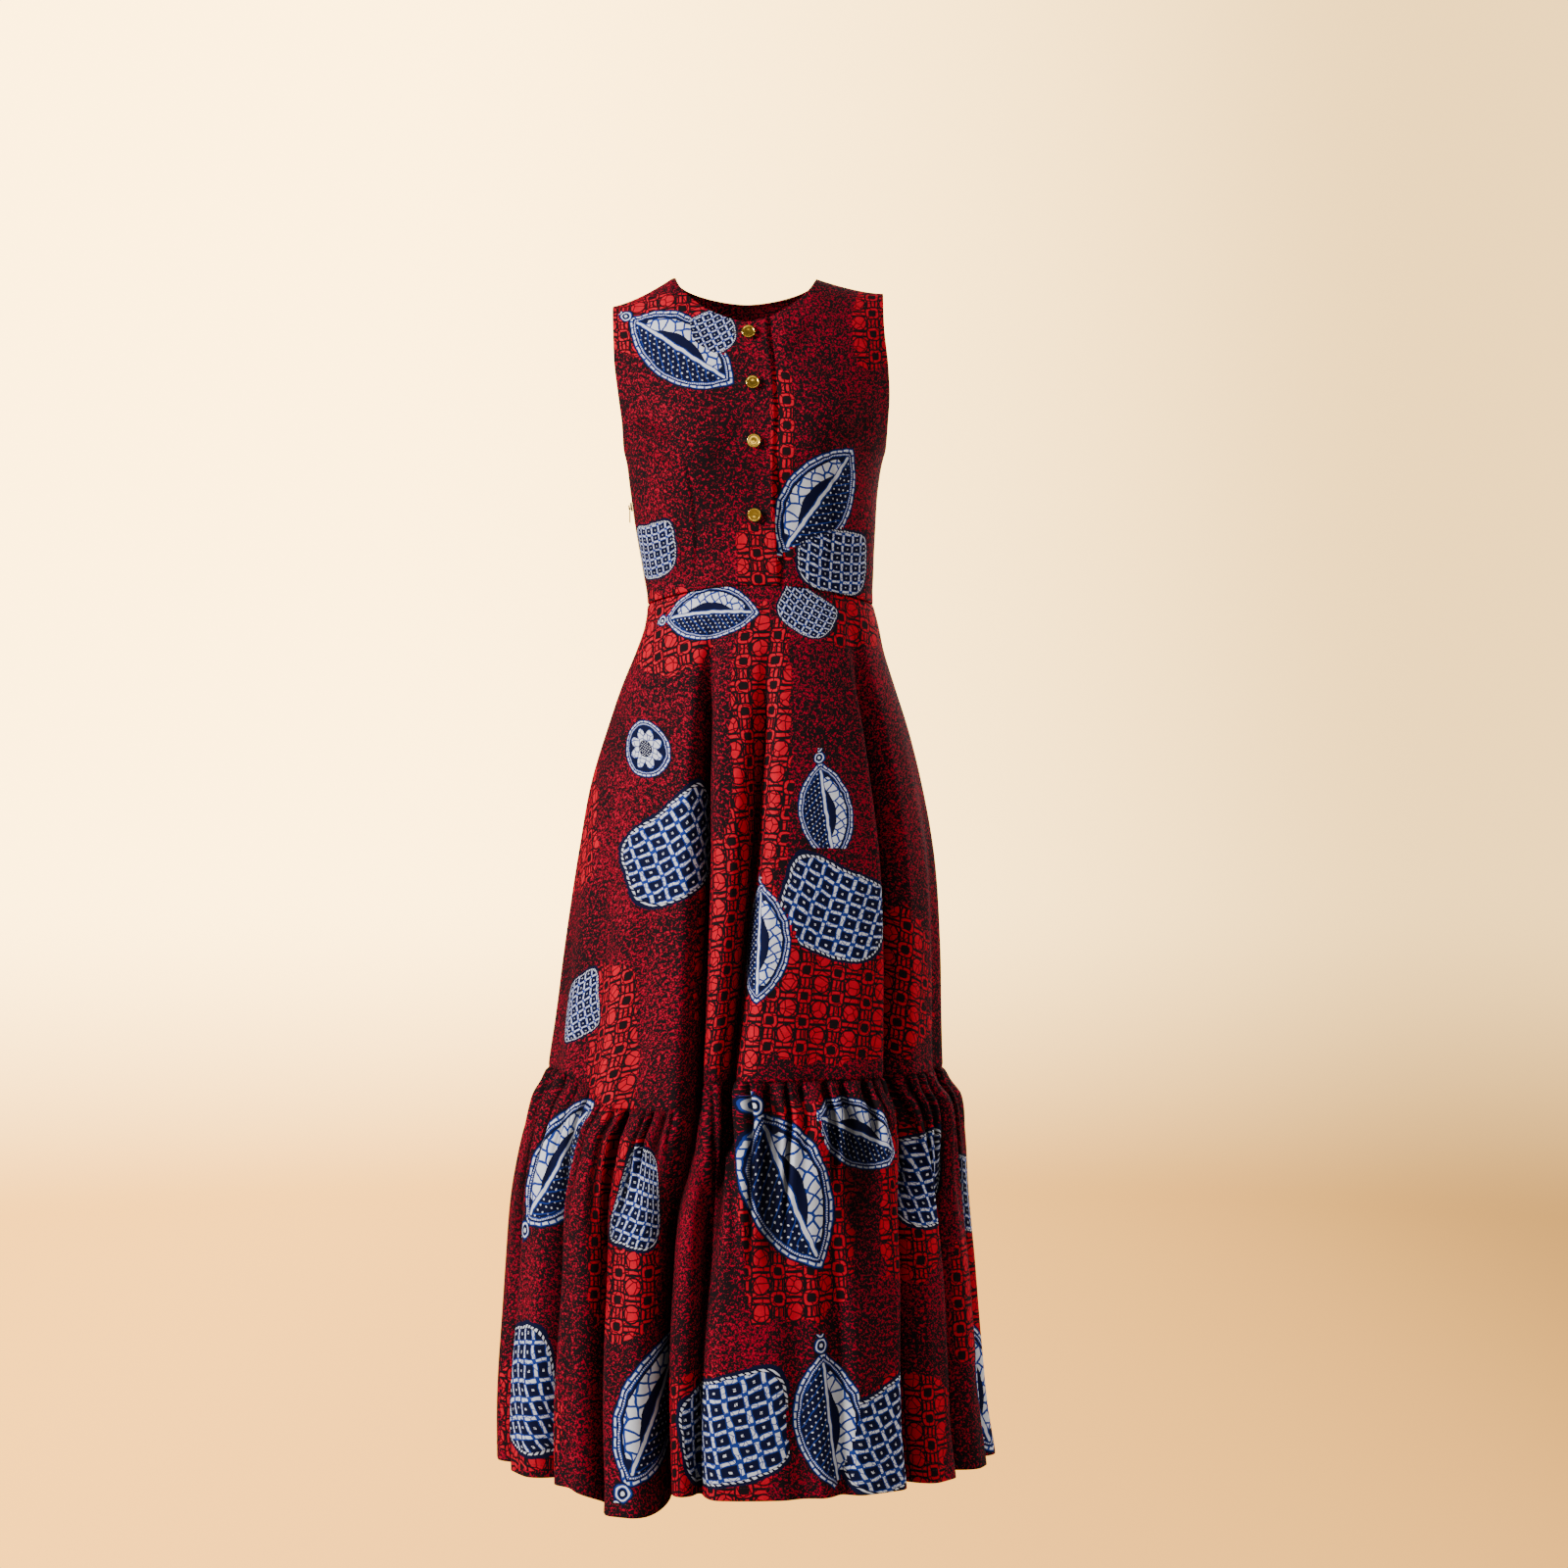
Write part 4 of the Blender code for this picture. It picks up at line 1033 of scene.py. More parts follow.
@dataclass
class Tier:
    """Half of a tier of the skirt, between two side seams."""

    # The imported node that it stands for, its side and how many mesh columns it has
    node: str
    side: Side
    columns: int = 320
    # Metres of cloth for each radian from the side seam
    side_run: float = 0.2
    # The fold depth at which the print's painted shade is most, how sharply the painted shade grows,
    # and the most painted shade
    shade_depth: float = 0.031
    shade_growth: float = 1.35
    most_shade: float = 0.95
    # Places tried round a half to space its columns, and the share of the flounce's fall for them
    tries: int = 1441
    spaced_at: float = 0.7

    def __post_init__(self) -> None:
        """Spaces the columns."""
        self.base = self._base_angles()

    def _even(self, surface: Surface, high: Array, low: Array, share: float, fine: Array) -> Array:
        """The angles that lie evenly along the cloth at a share of the way down."""
        run = run_along(surface(fine, high + (low - high) * share).T)
        return np.interp(np.linspace(0.0, run[-1], self.columns + 1), run, fine)

    def _base_angles(self) -> Array:
        """The angles where the columns of both tiers meet at their seam."""
        fine = np.linspace(self.side.value, self.side.value + 180.0, self.tries)
        seam = DressForm.seam_height(fine)
        waist = DressForm.waist_height(fine)
        skirt = self._even(DressForm.skirt, waist, seam, 1.0, fine)
        hem = DressForm.hem_height(fine)
        flounce = self._even(DressForm.flounce, seam, hem, self.spaced_at, fine)
        return (skirt + flounce) / 2

    @staticmethod
    def follow(form: TierForm, low_angles: Array, heights: Array) -> Array:
        """The angles, row by row, of columns that keep their places on the folds.

        Args:
            form: The tier's form.
            low_angles: The columns' angles at the lower end.
            heights: The rows' heights.

        Returns:
            Angles in degrees; the side seams hang straight.
        """
        lows = [-90.0, 90.0] + [fold.low_angle for fold in form.folds]
        moved = [0.0 * heights, 0.0 * heights]
        for fold in form.folds:
            centre = DressForm.fold_centre(fold, form, heights)
            moved.append(turn_between(centre, fold.low_angle))
        rows = [np.interp(low_angles, lows, row, period=360.0) for row in np.array(moved).T]
        return low_angles + np.array(rows)

    def painted_shade(self, depth: Array) -> Array:
        """How far painted shade darkens the print at a fold's depth in metres: 0 on a ridge, 1 at
        most.
        """
        return self.most_shade * np.clip(depth / self.shade_depth, 0.0, 1.0) ** self.shade_growth

    def from_sides(self, angle: Array) -> Array:
        """The distance from the nearer side seam, in metres."""
        away = np.minimum(angle - self.side.value, self.side.value + 180.0 - angle)
        return np.radians(np.maximum(away, 0.0)) * self.side_run

    def walls(self, point: Array, normal: Array, angle: Array) -> tuple[Array, Array]:
        """Joins the side seams and gives the cloth's outer and inner points, coordinates last."""
        under = None
        if self.side is Side.BACK:
            under = tuck(self.from_sides(angle))
            point = point - normal * under
        point = joined(point, under)
        return np.moveaxis(point, 0, -1), np.moveaxis(point - normal * CLOTH, 0, -1)


@dataclass
class SkirtTier(Tier):
    """The flared tier: its print runs on a ring sector, so it turns to the bias at the sides."""

    rows: int = 84
    length: float = 0.49
    ring: float = 0.36
    ring_growth: float = 1.02
    sheet: Pair = (0.875, 0.540)
    sheet_share: float = 0.68
    # Where the print's sideways coordinates start, for the front and the back
    print_starts: Pair = (0.0, 2.0)

    def build(self, material: Material) -> ClothGrid:
        """Makes the panel and gives its grid."""
        shares = edge_shares(self.rows, self.length)
        angle = self.follow(SKIRT_FORM, self.base, SKIRT_FORM.heights(shares))
        high = DressForm.waist_height(angle) - HALF_GAP + TUCK
        low = DressForm.seam_height(angle) + HALF_GAP
        place = high + (low - high) * shares[:, None]
        normal = outward(DressForm.skirt, angle, place, level=True)
        seam = pinch(high - place) + pinch(place - low) + pinch(self.from_sides(angle))
        seam += tuck(high - place)
        point = DressForm.skirt(angle, place) - normal * seam
        outer, inner = self.walls(point, normal, angle)
        places = self._ring_places(outer, SKIRT_FORM.high - place)
        # Painted shade: the print is darkened in the folds' valleys
        depth = DressForm.fold_effect(SKIRT_FORM, angle, place)[1]
        grid = ClothGrid(outer, inner, places, self.painted_shade(depth))
        panel = ClothPanel(self.node, self.side, grid)
        panel.build(material, self.sheet, self.sheet_share, "hung")
        return grid

    def _ring_places(self, outer: Array, fall: Array) -> Array:
        """The print's coordinates on the flat ring sector.

        Args:
            outer: The panel's points.
            fall: How far each lies below the waist's highest point.

        Returns:
            The coordinates in metres.
        """
        run = run_along(outer, axis=1)
        middle = run[:, [int(np.argmin(np.abs(self.base - self.side.value - 90.0)))]]
        radius = self.ring + fall * self.ring_growth
        turn = (run - middle) / radius
        across = self.print_starts[self.side is Side.BACK] + radius * np.sin(turn)
        return np.stack([across, self.ring - radius * np.cos(turn)], -1)


@dataclass
class FlounceTier(Tier):
    """The gathered tier."""

    columns: int = 480
    rows: int = 84
    length: float = 0.41
    sheet: Pair = (1.05, 0.42)
    sheet_share: float = 0.96
    print_starts: Pair = (4.0, 6.0)
    # How far columns crowd into valleys, and how unevenly they lie: waves' heights, paces, starts
    crowding: float = 0.55
    uneven: tuple[Triple, ...] = ((0.34, 0.61, 0.0), (0.26, 1.37, 1.0))
    # The steepness of the seam that flattens the gathers, and the slow swell below them
    flattening: float = 4.0
    swell: float = 0.0022
    swell_fall: float = 0.15
    # The valley depth where painted shade sets in, the further depth where it is full, and the
    # painted shade along the seam
    shade_from: float = 0.0002
    shade_full: float = 0.0020
    seam_shade: float = 0.6
    seam_shade_fall: float = 0.0045
    gather_shade: float = 0.97
    # A valley's half width at the seam and what it gains below, and how far down gathers reach
    groove: Triple = (0.36, 0.24, 0.08)
    reach: Pair = (0.072, 0.150)
    # How much a gather's depth varies, and the paces of its variation and of its reach's
    depth_share: Pair = (0.80, 0.45)
    depth_pace: Pair = (4.798, 1.462)
    reach_pace: Pair = (2.913, 1.5)
    # A gather's wave: its level, its groove and its ridge
    wave: Triple = (0.50, 1.5, 0.25)
    # The share of a gather's depth at the seam, and the fall over which it grows whole
    pressed: float = 0.10
    pressed_fall: float = 0.008
    # Broad waves under the gathers: their height, and the falls where they set in and end
    broad: Triple = (0.0036, 0.03, 0.30)

    def build(self, material: Material) -> ClothGrid:
        """Makes the panel and gives its grid."""
        even = np.linspace(0.0, 2.0 * GATHERS, self.columns + 1)
        column = even + self.crowding * np.sin(math.pi * even) / math.pi
        jitter = sum(high * np.sin(pace * column + start) for high, pace, start in self.uneven)
        jitter = jitter * np.sin(math.pi * column / (2.0 * GATHERS)) ** 0.5
        base = np.interp(column + jitter, even, self.base)
        shares = edge_shares(self.rows, self.length)
        own = self.follow(FLOUNCE_FORM, base, FLOUNCE_FORM.heights(shares))
        angle = base + (own - base) * ease(shares / FOLD_CHANGE)[:, None]
        steep = self._steepness(angle)
        high = DressForm.seam_height(angle) + (TUCK - HALF_GAP) * (1 + steep)
        place = high + (DressForm.hem_height(angle) - high) * shares[:, None]
        normal = outward(DressForm.flounce, angle, place, level=True)
        fall = high - place
        waves = self._gathers(column, fall) / (1 + self.flattening * steep**2)
        swell = self.swell * ease(fall / self.swell_fall) * undulation(7.3, 0.2 * angle / 57, place)
        seam = pinch(fall) + tuck(fall) + pinch(self.from_sides(angle))
        point = DressForm.flounce(angle, place) + normal * (waves + swell - seam)
        outer, inner = self.walls(point, normal, angle)
        # Painted shade: the print is darkened in the folds, in the gathers' valleys and just under
        # the seam
        depth = self.painted_shade(DressForm.flounce_folds(angle, place)[1])
        tight = np.clip((-waves - self.shade_from) / self.shade_full, 0.0, 1.0)
        at_seam = self.seam_shade * np.exp(-((fall / self.seam_shade_fall) ** 2))
        shade = np.maximum(depth, self.gather_shade * np.maximum(tight, at_seam))
        grid = ClothGrid(outer, inner, self._strip_places(outer, fall), shade)
        panel = ClothPanel(self.node, self.side, grid)
        panel.build(material, self.sheet, self.sheet_share, "gathered")
        return grid

    def _strip_places(self, outer: Array, fall: Array) -> Array:
        """The print's coordinates on the flat strip: the run half way down, and the fall."""
        run = run_along(outer[len(outer) // 2])
        start = self.print_starts[self.side is Side.BACK]
        across = np.broadcast_to(start + run - run[-1] / 2, fall.shape)
        return np.stack([across, -fall], axis=-1)

    @staticmethod
    def _steepness(angle: Array) -> Array:
        """Tells how steeply the flounce seam runs at an angle; 1 is 2 mm a degree."""
        rise = DressForm.seam_height(angle + 0.5) - DressForm.seam_height(angle - 0.5)
        return np.abs(rise) / 0.002

    def _gathers(self, column: Array, fall: Array) -> Array:
        """The gathers' waves: round ridges and tight valleys, fading unevenly down the cloth.

        Args:
            column: Places across the half tier; a gather takes two.
            fall: Distances below the seam, in metres.

        Returns:
            Distances out of the plain surface.
        """
        which = np.floor(column / 2.0)
        away = np.abs(column - 2.0 * which - 1.0)
        (mean, more), (pace, slow) = self.depth_share, self.depth_pace
        uneven = mean + more * np.sin(which * pace) * np.cos(which * slow)
        (least, extra), (pace, power) = self.reach, self.reach_pace
        reach = least + extra * np.abs(np.sin(which * pace)) ** power
        narrow, gain, over = self.groove
        groove = np.exp(-((away / (narrow + gain * ease(fall / over))) ** 2))
        level, grooved, ridged = self.wave
        wave = level - grooved * groove - ridged * np.cos(math.pi * away)
        smooth = 1.0 - ease(fall / reach)
        early = self.pressed + (1 - self.pressed) * ease(fall / self.pressed_fall)
        high, setting_in, end = self.broad
        broad = high * np.sin(math.pi / 4 * column + 0.7)
        broad = broad * ease(fall / setting_in) * (1 - ease(fall / end))
        return GATHER_DEPTH * wave * uneven * smooth * early + broad


def feed(tree: Tree, node: Node, feeds: dict[str | int, Feed]) -> None:
    """Joins sockets to a node's inputs and writes constants there.

    Args:
        tree: The tree that the node is in.
        node: The node.
        feeds: Signals, sockets, colours and numbers, by the input's name or place.
    """
    for name, value in feeds.items():
        if isinstance(value, Signal):
            value = value.socket
        if isinstance(value, Socket):
            tree.links.new(value, node.inputs[name])
        else:
            node.inputs[name].default_value = (*value, 1.0) if isinstance(value, tuple) else value


def add_node(tree: Tree, kind: str, feeds: dict[str | int, Feed], **settings: object) -> Node:
    """Adds a shader node.

    Args:
        tree: The tree of a material or a group.
        kind: The node's type, after ShaderNode.
        feeds: What goes to its inputs, as for feed.
        settings: Its own settings.

    Returns:
        The node.
    """
    node = tree.nodes.new("ShaderNode" + kind)
    for name, value in settings.items():
        setattr(node, name, value)
    feed(tree, node, feeds)
    return node


@dataclass(frozen=True)
class Signal:
    """A number on its way through a node group, with the usual arithmetic."""

    tree: Tree
    socket: Socket

    def op(self, kind: str, *others: Signal | float) -> Signal:
        """The result of a Math node whose first input is this number."""
        node = add_node(self.tree, "Math", dict(enumerate((self, *others))), operation=kind)
        return Signal(self.tree, node.outputs[0])

    def __add__(self, other: Signal | float) -> Signal:
        """Adds a number."""
        return self.op("ADD", other)

    def __sub__(self, other: Signal | float) -> Signal:
        """Takes a number away."""
        return self.op("SUBTRACT", other)

    def __mul__(self, other: Signal | float) -> Signal:
        """Multiplies by a number."""
        return self.op("MULTIPLY", other)

    def __truediv__(self, other: float) -> Signal:
        """Divides by a constant."""
        return self.op("MULTIPLY", 1.0 / other)

    def __abs__(self) -> Signal:
        """The size without its sign."""
        return self.op("ABSOLUTE")

    def __neg__(self) -> Signal:
        """Turns the sign."""
        return self.op("MULTIPLY", -1.0)

    def below(self, edge: Signal | float) -> Signal:
        """Gives 1 where this is under the edge, else 0."""
        return self.op("LESS_THAN", edge)

    def above(self, edge: Signal | float) -> Signal:
        """Gives 1 where this is over the edge, else 0."""
        return self.op("GREATER_THAN", edge)

    def between(self, low: float, high: float) -> Signal:
        """Gives 1 where this lies between two values, else 0."""
        return self.above(low) * self.below(high)

    def cell(self, pitch: float, shift: float = 0.0) -> Signal:
        """The place from the middle of the nearest repeat, in this number's own units."""
        turns = self / pitch + shift
        return (turns.op("FRACT") - 0.5) * pitch

    def either(self, other: Signal) -> Signal:
        """The larger of two numbers."""
        return self.op("MAXIMUM", other)


def length(x: Signal, y: Signal) -> Signal:
    """The distance from the origin of a plane."""
    return (x * x + y * y).op("SQRT")


def squarish(x: Signal, y: Signal) -> Signal:
    """The distance from the origin of a plane, as a square with round corners has it."""
    return (x.op("POWER", 4.0) + y.op("POWER", 4.0)).op("POWER", 0.25)


class Group:
    """A node group being written: its inputs and outputs, and helpers for textures."""

    def __init__(self, name: str) -> None:
        """Makes the empty group."""
        self.tree = bpy.data.node_groups.new(name, "ShaderNodeTree")
        self.start = self.tree.nodes.new("NodeGroupInput")
        self.end = self.tree.nodes.new("NodeGroupOutput")

    def colour_in(self, name: str) -> Socket:
        """Adds a colour input and gives it."""
        self.tree.interface.new_socket(name, in_out="INPUT", socket_type="NodeSocketColor")
        return self.start.outputs[name]

    def out(self, name: str, value: Signal | Socket) -> None:
        """Adds an output for a number or a colour and joins it."""
        kind = "NodeSocketFloat" if isinstance(value, Signal) else "NodeSocketColor"
        self.tree.interface.new_socket(name, in_out="OUTPUT", socket_type=kind)
        feed(self.tree, self.end, {name: value})

    def split(self, place: Socket) -> tuple[Signal, ...]:
        """A vector's three coordinates."""
        node = add_node(self.tree, "SeparateXYZ", {0: place})
        return tuple(Signal(self.tree, socket) for socket in node.outputs)

    def uv(self, name: str) -> tuple[Signal, ...]:
        """The two coordinates of one of the piece's own maps."""
        return self.split(add_node(self.tree, "UVMap", {}, uv_map=name).outputs[0])[:2]

    def object_place(self) -> Socket:
        """The place on the piece."""
        return add_node(self.tree, "TexCoord", {}).outputs["Object"]

    def attribute(self, name: str) -> Signal:
        """A number carried by the mesh."""
        node = add_node(self.tree, "Attribute", {}, attribute_name=name)
        return Signal(self.tree, node.outputs["Fac"])

    def vector(self, x: Signal, y: Signal) -> Socket:
        """Joins two coordinates into a vector."""
        return add_node(self.tree, "CombineXYZ", {0: x, 1: y}).outputs[0]

    def noise(self, place: Socket, scale: float, detail: float, warp: float = 0.0) -> Signal:
        """A noise texture's value at a place."""
        feeds = {"Vector": place, "Scale": scale, "Detail": detail, "Distortion": warp}
        return Signal(self.tree, add_node(self.tree, "TexNoise", feeds).outputs["Fac"])

    def cracks(self, place: Socket, scale: float) -> Signal:
        """The distance to the edges of uneven cells, in cells."""
        kind = {"feature": "DISTANCE_TO_EDGE", "voronoi_dimensions": "2D"}
        node = add_node(self.tree, "TexVoronoi", {"Vector": place, "Scale": scale}, **kind)
        return Signal(self.tree, node.outputs["Distance"])

    def mix(self, share: Feed, under: Feed, over: Feed, blend: str = "MIX") -> Socket:
        """Lays one colour over another, by the share of the upper one that shows."""
        feeds = {0: share, 6: under, 7: over}
        return add_node(self.tree, "Mix", feeds, data_type="RGBA", blend_type=blend).outputs[2]


@dataclass(frozen=True)
class Dyes:
    """The print's colours."""

    ground: Triple = (0.0135, 0.0075, 0.0095)
    red: Triple = (0.74, 0.0, 0.0240)
    faint: Triple = (0.50, 0.0, 0.0280)
    navy: Triple = (0.0060, 0.0080, 0.040)
    blue: Triple = (0.019, 0.050, 0.32)
    white: Triple = (0.86, 0.89, 1.0)


DYES = Dyes()


@dataclass
class Brush:
    """Paints one figure, dye by dye, on what lies under it."""

    # The figure shows where on is 1
    group: Group
    on: Signal
    colour: Socket

    def lay(self, mask: Signal, dye: Triple) -> None:
        """Lays a dye where the mask is 1."""
        self.colour = self.group.mix(self.on * mask, self.colour, dye)


@dataclass
class PrintedFigures:
    """The blue and white figures, each drawn round the origin of its own space, in metres."""

    # How far the hand of the drawing strays, and how fine: sideways, then lengthways
    stray: tuple[Pair, ...] = ((0.0065, 55.0), (0.0060, 60.0))
    # Half lengths and half widths, and the mat's bow and drop
    leaf_long: float = 0.085
    leaf_wide: float = 0.047
    flower_radius: float = 0.050
    mat_long: float = 0.062
    mat_wide: float = 0.047
    mat_bow: float = 3.2
    mat_drop: float = 0.006
    # The outline's bands, as depths inside it; the ribbon's dashes and the fine band's hairs
    navy_edge: float = -0.0018
    blue_band: Pair = (0.0, 0.0090)
    ribbon: Pair = (0.0012, 0.0036)
    fine_band: Pair = (0.0062, 0.0078)
    navy_band: Pair = (0.0044, 0.0058)
    dash: Pair = (0.0105, 0.0040)
    hair: Pair = (0.0026, 0.0007)
    # The leaf's inside: dots, pale cells, vein and barbs
    leaf_inside: float = 0.0100
    leaf_dots: Pair = (0.0078, 0.00115)
    petals: Pair = (0.0120, 0.0300)
    petals_end: float = 0.060
    petal_cells: Pair = (76.0, 0.085)
    vein_blue: float = 0.0032
    vein_white: float = 0.0016
    barb: Pair = (0.016, 0.0009)
    barb_from: float = 0.004
    # Each berry's way past the leaf's tip and its radius; its rings as shares of the radius
    berries: tuple[Pair, ...] = ((0.0085, 0.0105), (0.0250, 0.0070))
    berry_edge: float = 0.0012
    berry_skin: float = 0.0004
    berry_ring: Pair = (0.62, 0.82)
    berry_heart: float = 0.50
    berry_eye: float = 0.24
    # The flower: petals a turn, how long and how round, their edge, their cells and the heart
    flower_turns: float = 4.0
    flower_reach: float = 0.022
    flower_scallop: float = 0.014
    flower_edge: float = 0.0014
    flower_cells: Pair = (95.0, 0.07)
    flower_heart: float = 0.0150
    flower_dotted: float = 0.0130
    flower_dots: Pair = (0.0046, 0.0010)
    # The mat's weave: pitches, then half widths and half lengths of its bars, ties and beads
    mat_edge: float = -0.0022
    mat_inside: float = 0.0030
    mat_pitch: Pair = (0.0180, 0.0140)
    bar: Pair = (0.0016, 0.0052)
    tie: Pair = (0.00135, 0.0058)
    bead: float = 0.0012
    thread_level: float = 0.0024
    thread_upright: float = 0.0027
    worn: Pair = (150.0, 0.045)
    rim: Pair = (0.0008, 0.0026)
    rim_dash: Pair = (0.0060, 0.0018)

    def group(self) -> Tree:
        """The group that draws every figure on a colour handed to it."""
        group = Group("printed_figures")
        colour = group.colour_in("Ground")
        place, y = group.uv("figure")
        which = (place + 0.5).op("FLOOR")
        (far, fine), (far_y, fine_y) = self.stray
        hand = group.noise(group.vector(place, y), fine, 2.0) - 0.5
        other = group.noise(group.vector(y, place), fine_y, 2.0) - 0.5
        x = place - which + hand * far
        y = y + other * far_y
        draws = {LEAF: self._leaf, ROSETTE: self._rosette, BASKET: self._mat}
        for kind, draw in draws.items():
            brush = Brush(group, which.op("COMPARE", float(kind.value), 0.1), colour)
            draw(brush, x, y)
            colour = brush.colour
        group.out("Color", colour)
        return group.tree

    def _band(self, brush: Brush, depth: Signal, along: Signal) -> None:
        """Draws an outline of bands: navy, a dashed white ribbon, then blue and navy lines.

        Args:
            brush: What paints the figure.
            depth: The distance inside the outline.
            along: The run round the outline.
        """
        brush.lay(depth.above(self.navy_edge), DYES.navy)
        brush.lay(depth.between(*self.blue_band), DYES.blue)
        ribbon = depth.between(*self.ribbon) * abs(along.cell(self.dash[0])).below(self.dash[1])
        fine = depth.between(*self.fine_band) * abs(along.cell(self.hair[0])).below(self.hair[1])
        brush.lay(ribbon.either(fine), DYES.white)
        brush.lay(depth.between(*self.navy_band), DYES.navy)

    @staticmethod
    def _dots(x: Signal, y: Signal, pitch: float, size: float) -> Signal:
        """Rows of round dots, each row half a pitch off the last."""
        first = length(x.cell(pitch), y.cell(pitch * 1.7)).below(size)
        second = length(x.cell(pitch, 0.5), y.cell(pitch * 1.7, 0.5)).below(size)
        return first.either(second)

    @staticmethod
    def _cells(brush: Brush, x: Signal, y: Signal, size: Pair) -> Signal:
        """Uneven cells with thin cracks between, for a scale and a crack's half width."""
        return brush.group.cracks(brush.group.vector(x, y), size[0]).above(size[1])

    def _leaf(self, brush: Brush, x: Signal, y: Signal) -> None:
        """Draws a pointed leaf, half dotted and half of pale cells, with berries at its tip."""
        radius = (self.leaf_long**2 + self.leaf_wide**2) / (2 * self.leaf_wide)
        side = abs(y) + (radius - self.leaf_wide)
        depth = -length(x, side) + radius
        self._band(brush, depth, x.op("ARCTAN2", side) * radius)
        inside = depth.above(self.leaf_inside)
        brush.lay(inside, DYES.navy)
        dots = self._dots(x, y, *self.leaf_dots) * y.above(0.0)
        petals = depth.between(*self.petals) * y.below(0.0) * abs(x).below(self.petals_end)
        cells = self._cells(brush, x, y * 0.8, self.petal_cells)
        brush.lay(inside * petals, DYES.blue)
        brush.lay(inside * dots.either(petals * cells), DYES.white)
        vein = abs(y) + (-depth) * 0.02
        brush.lay(inside * vein.below(self.vein_blue), DYES.blue)
        brush.lay(inside * vein.below(self.vein_white), DYES.white)
        barb = abs((x + abs(y) * 1.1).cell(self.barb[0])).below(self.barb[1])
        brush.lay(inside * barb * y.above(self.barb_from), DYES.blue)
        for offset, size in self.berries:
            away = length(x - (self.leaf_long + offset), y)
            brush.lay(away.below(size + self.berry_edge), DYES.navy)
            brush.lay(away.below(size - self.berry_skin), DYES.blue)
            brush.lay(away.between(*(size * share for share in self.berry_ring)), DYES.white)
            brush.lay(away.below(size * self.berry_heart), DYES.navy)
            brush.lay(away.below(size * self.berry_eye), DYES.white)

    def _rosette(self, brush: Brush, x: Signal, y: Signal) -> None:
        """Draws a round flower: a banded rim, a ring of petals and a dotted heart."""
        out = length(x, y)
        turn = y.op("ARCTAN2", x)
        self._band(brush, -out + self.flower_radius, turn * self.flower_radius)
        reach = abs((turn * self.flower_turns).op("SINE")) * self.flower_scallop + self.flower_reach
        brush.lay(out.below(reach + self.flower_edge), DYES.blue)
        brush.lay(out.below(reach) * self._cells(brush, x, y, self.flower_cells), DYES.white)
        brush.lay(out.below(self.flower_heart), DYES.navy)
        dots = self._dots(x, y, *self.flower_dots)
        brush.lay(out.below(self.flower_dotted) * dots, DYES.white)

    def _mat(self, brush: Brush, x: Signal, y: Signal) -> None:
        """Draws a woven mat with bowed sides: bars crossed like basketwork on navy."""
        row = y + x * x * self.mat_bow - self.mat_drop
        depth = (-squarish(x / self.mat_long, row / self.mat_wide) + 1.0) * self.mat_wide
        brush.lay(depth.above(self.mat_edge), DYES.navy)
        wide, tall = self.mat_pitch
        upright, upright_off = abs(x.cell(wide)), abs(x.cell(wide, 0.5))
        level, level_off = abs(row.cell(tall)), abs(row.cell(tall, 0.5))
        bars = upright.below(self.bar[0]) * level.below(self.bar[1])
        ties = level_off.below(self.tie[0]) * upright_off.below(self.tie[1])
        beads = upright_off.below(self.bead) * level.below(self.bead)
        thread = level_off.below(self.thread_level).either(upright.below(self.thread_upright))
        inside = depth.above(self.mat_inside)
        brush.lay(inside * thread, DYES.blue)
        worn = self._cells(brush, x, y, self.worn)
        brush.lay(inside * bars.either(ties).either(beads) * worn, DYES.white)
        rim = abs((x + y).cell(self.rim_dash[0])).below(self.rim_dash[1])
        brush.lay(depth.between(*self.rim) * rim, DYES.white)


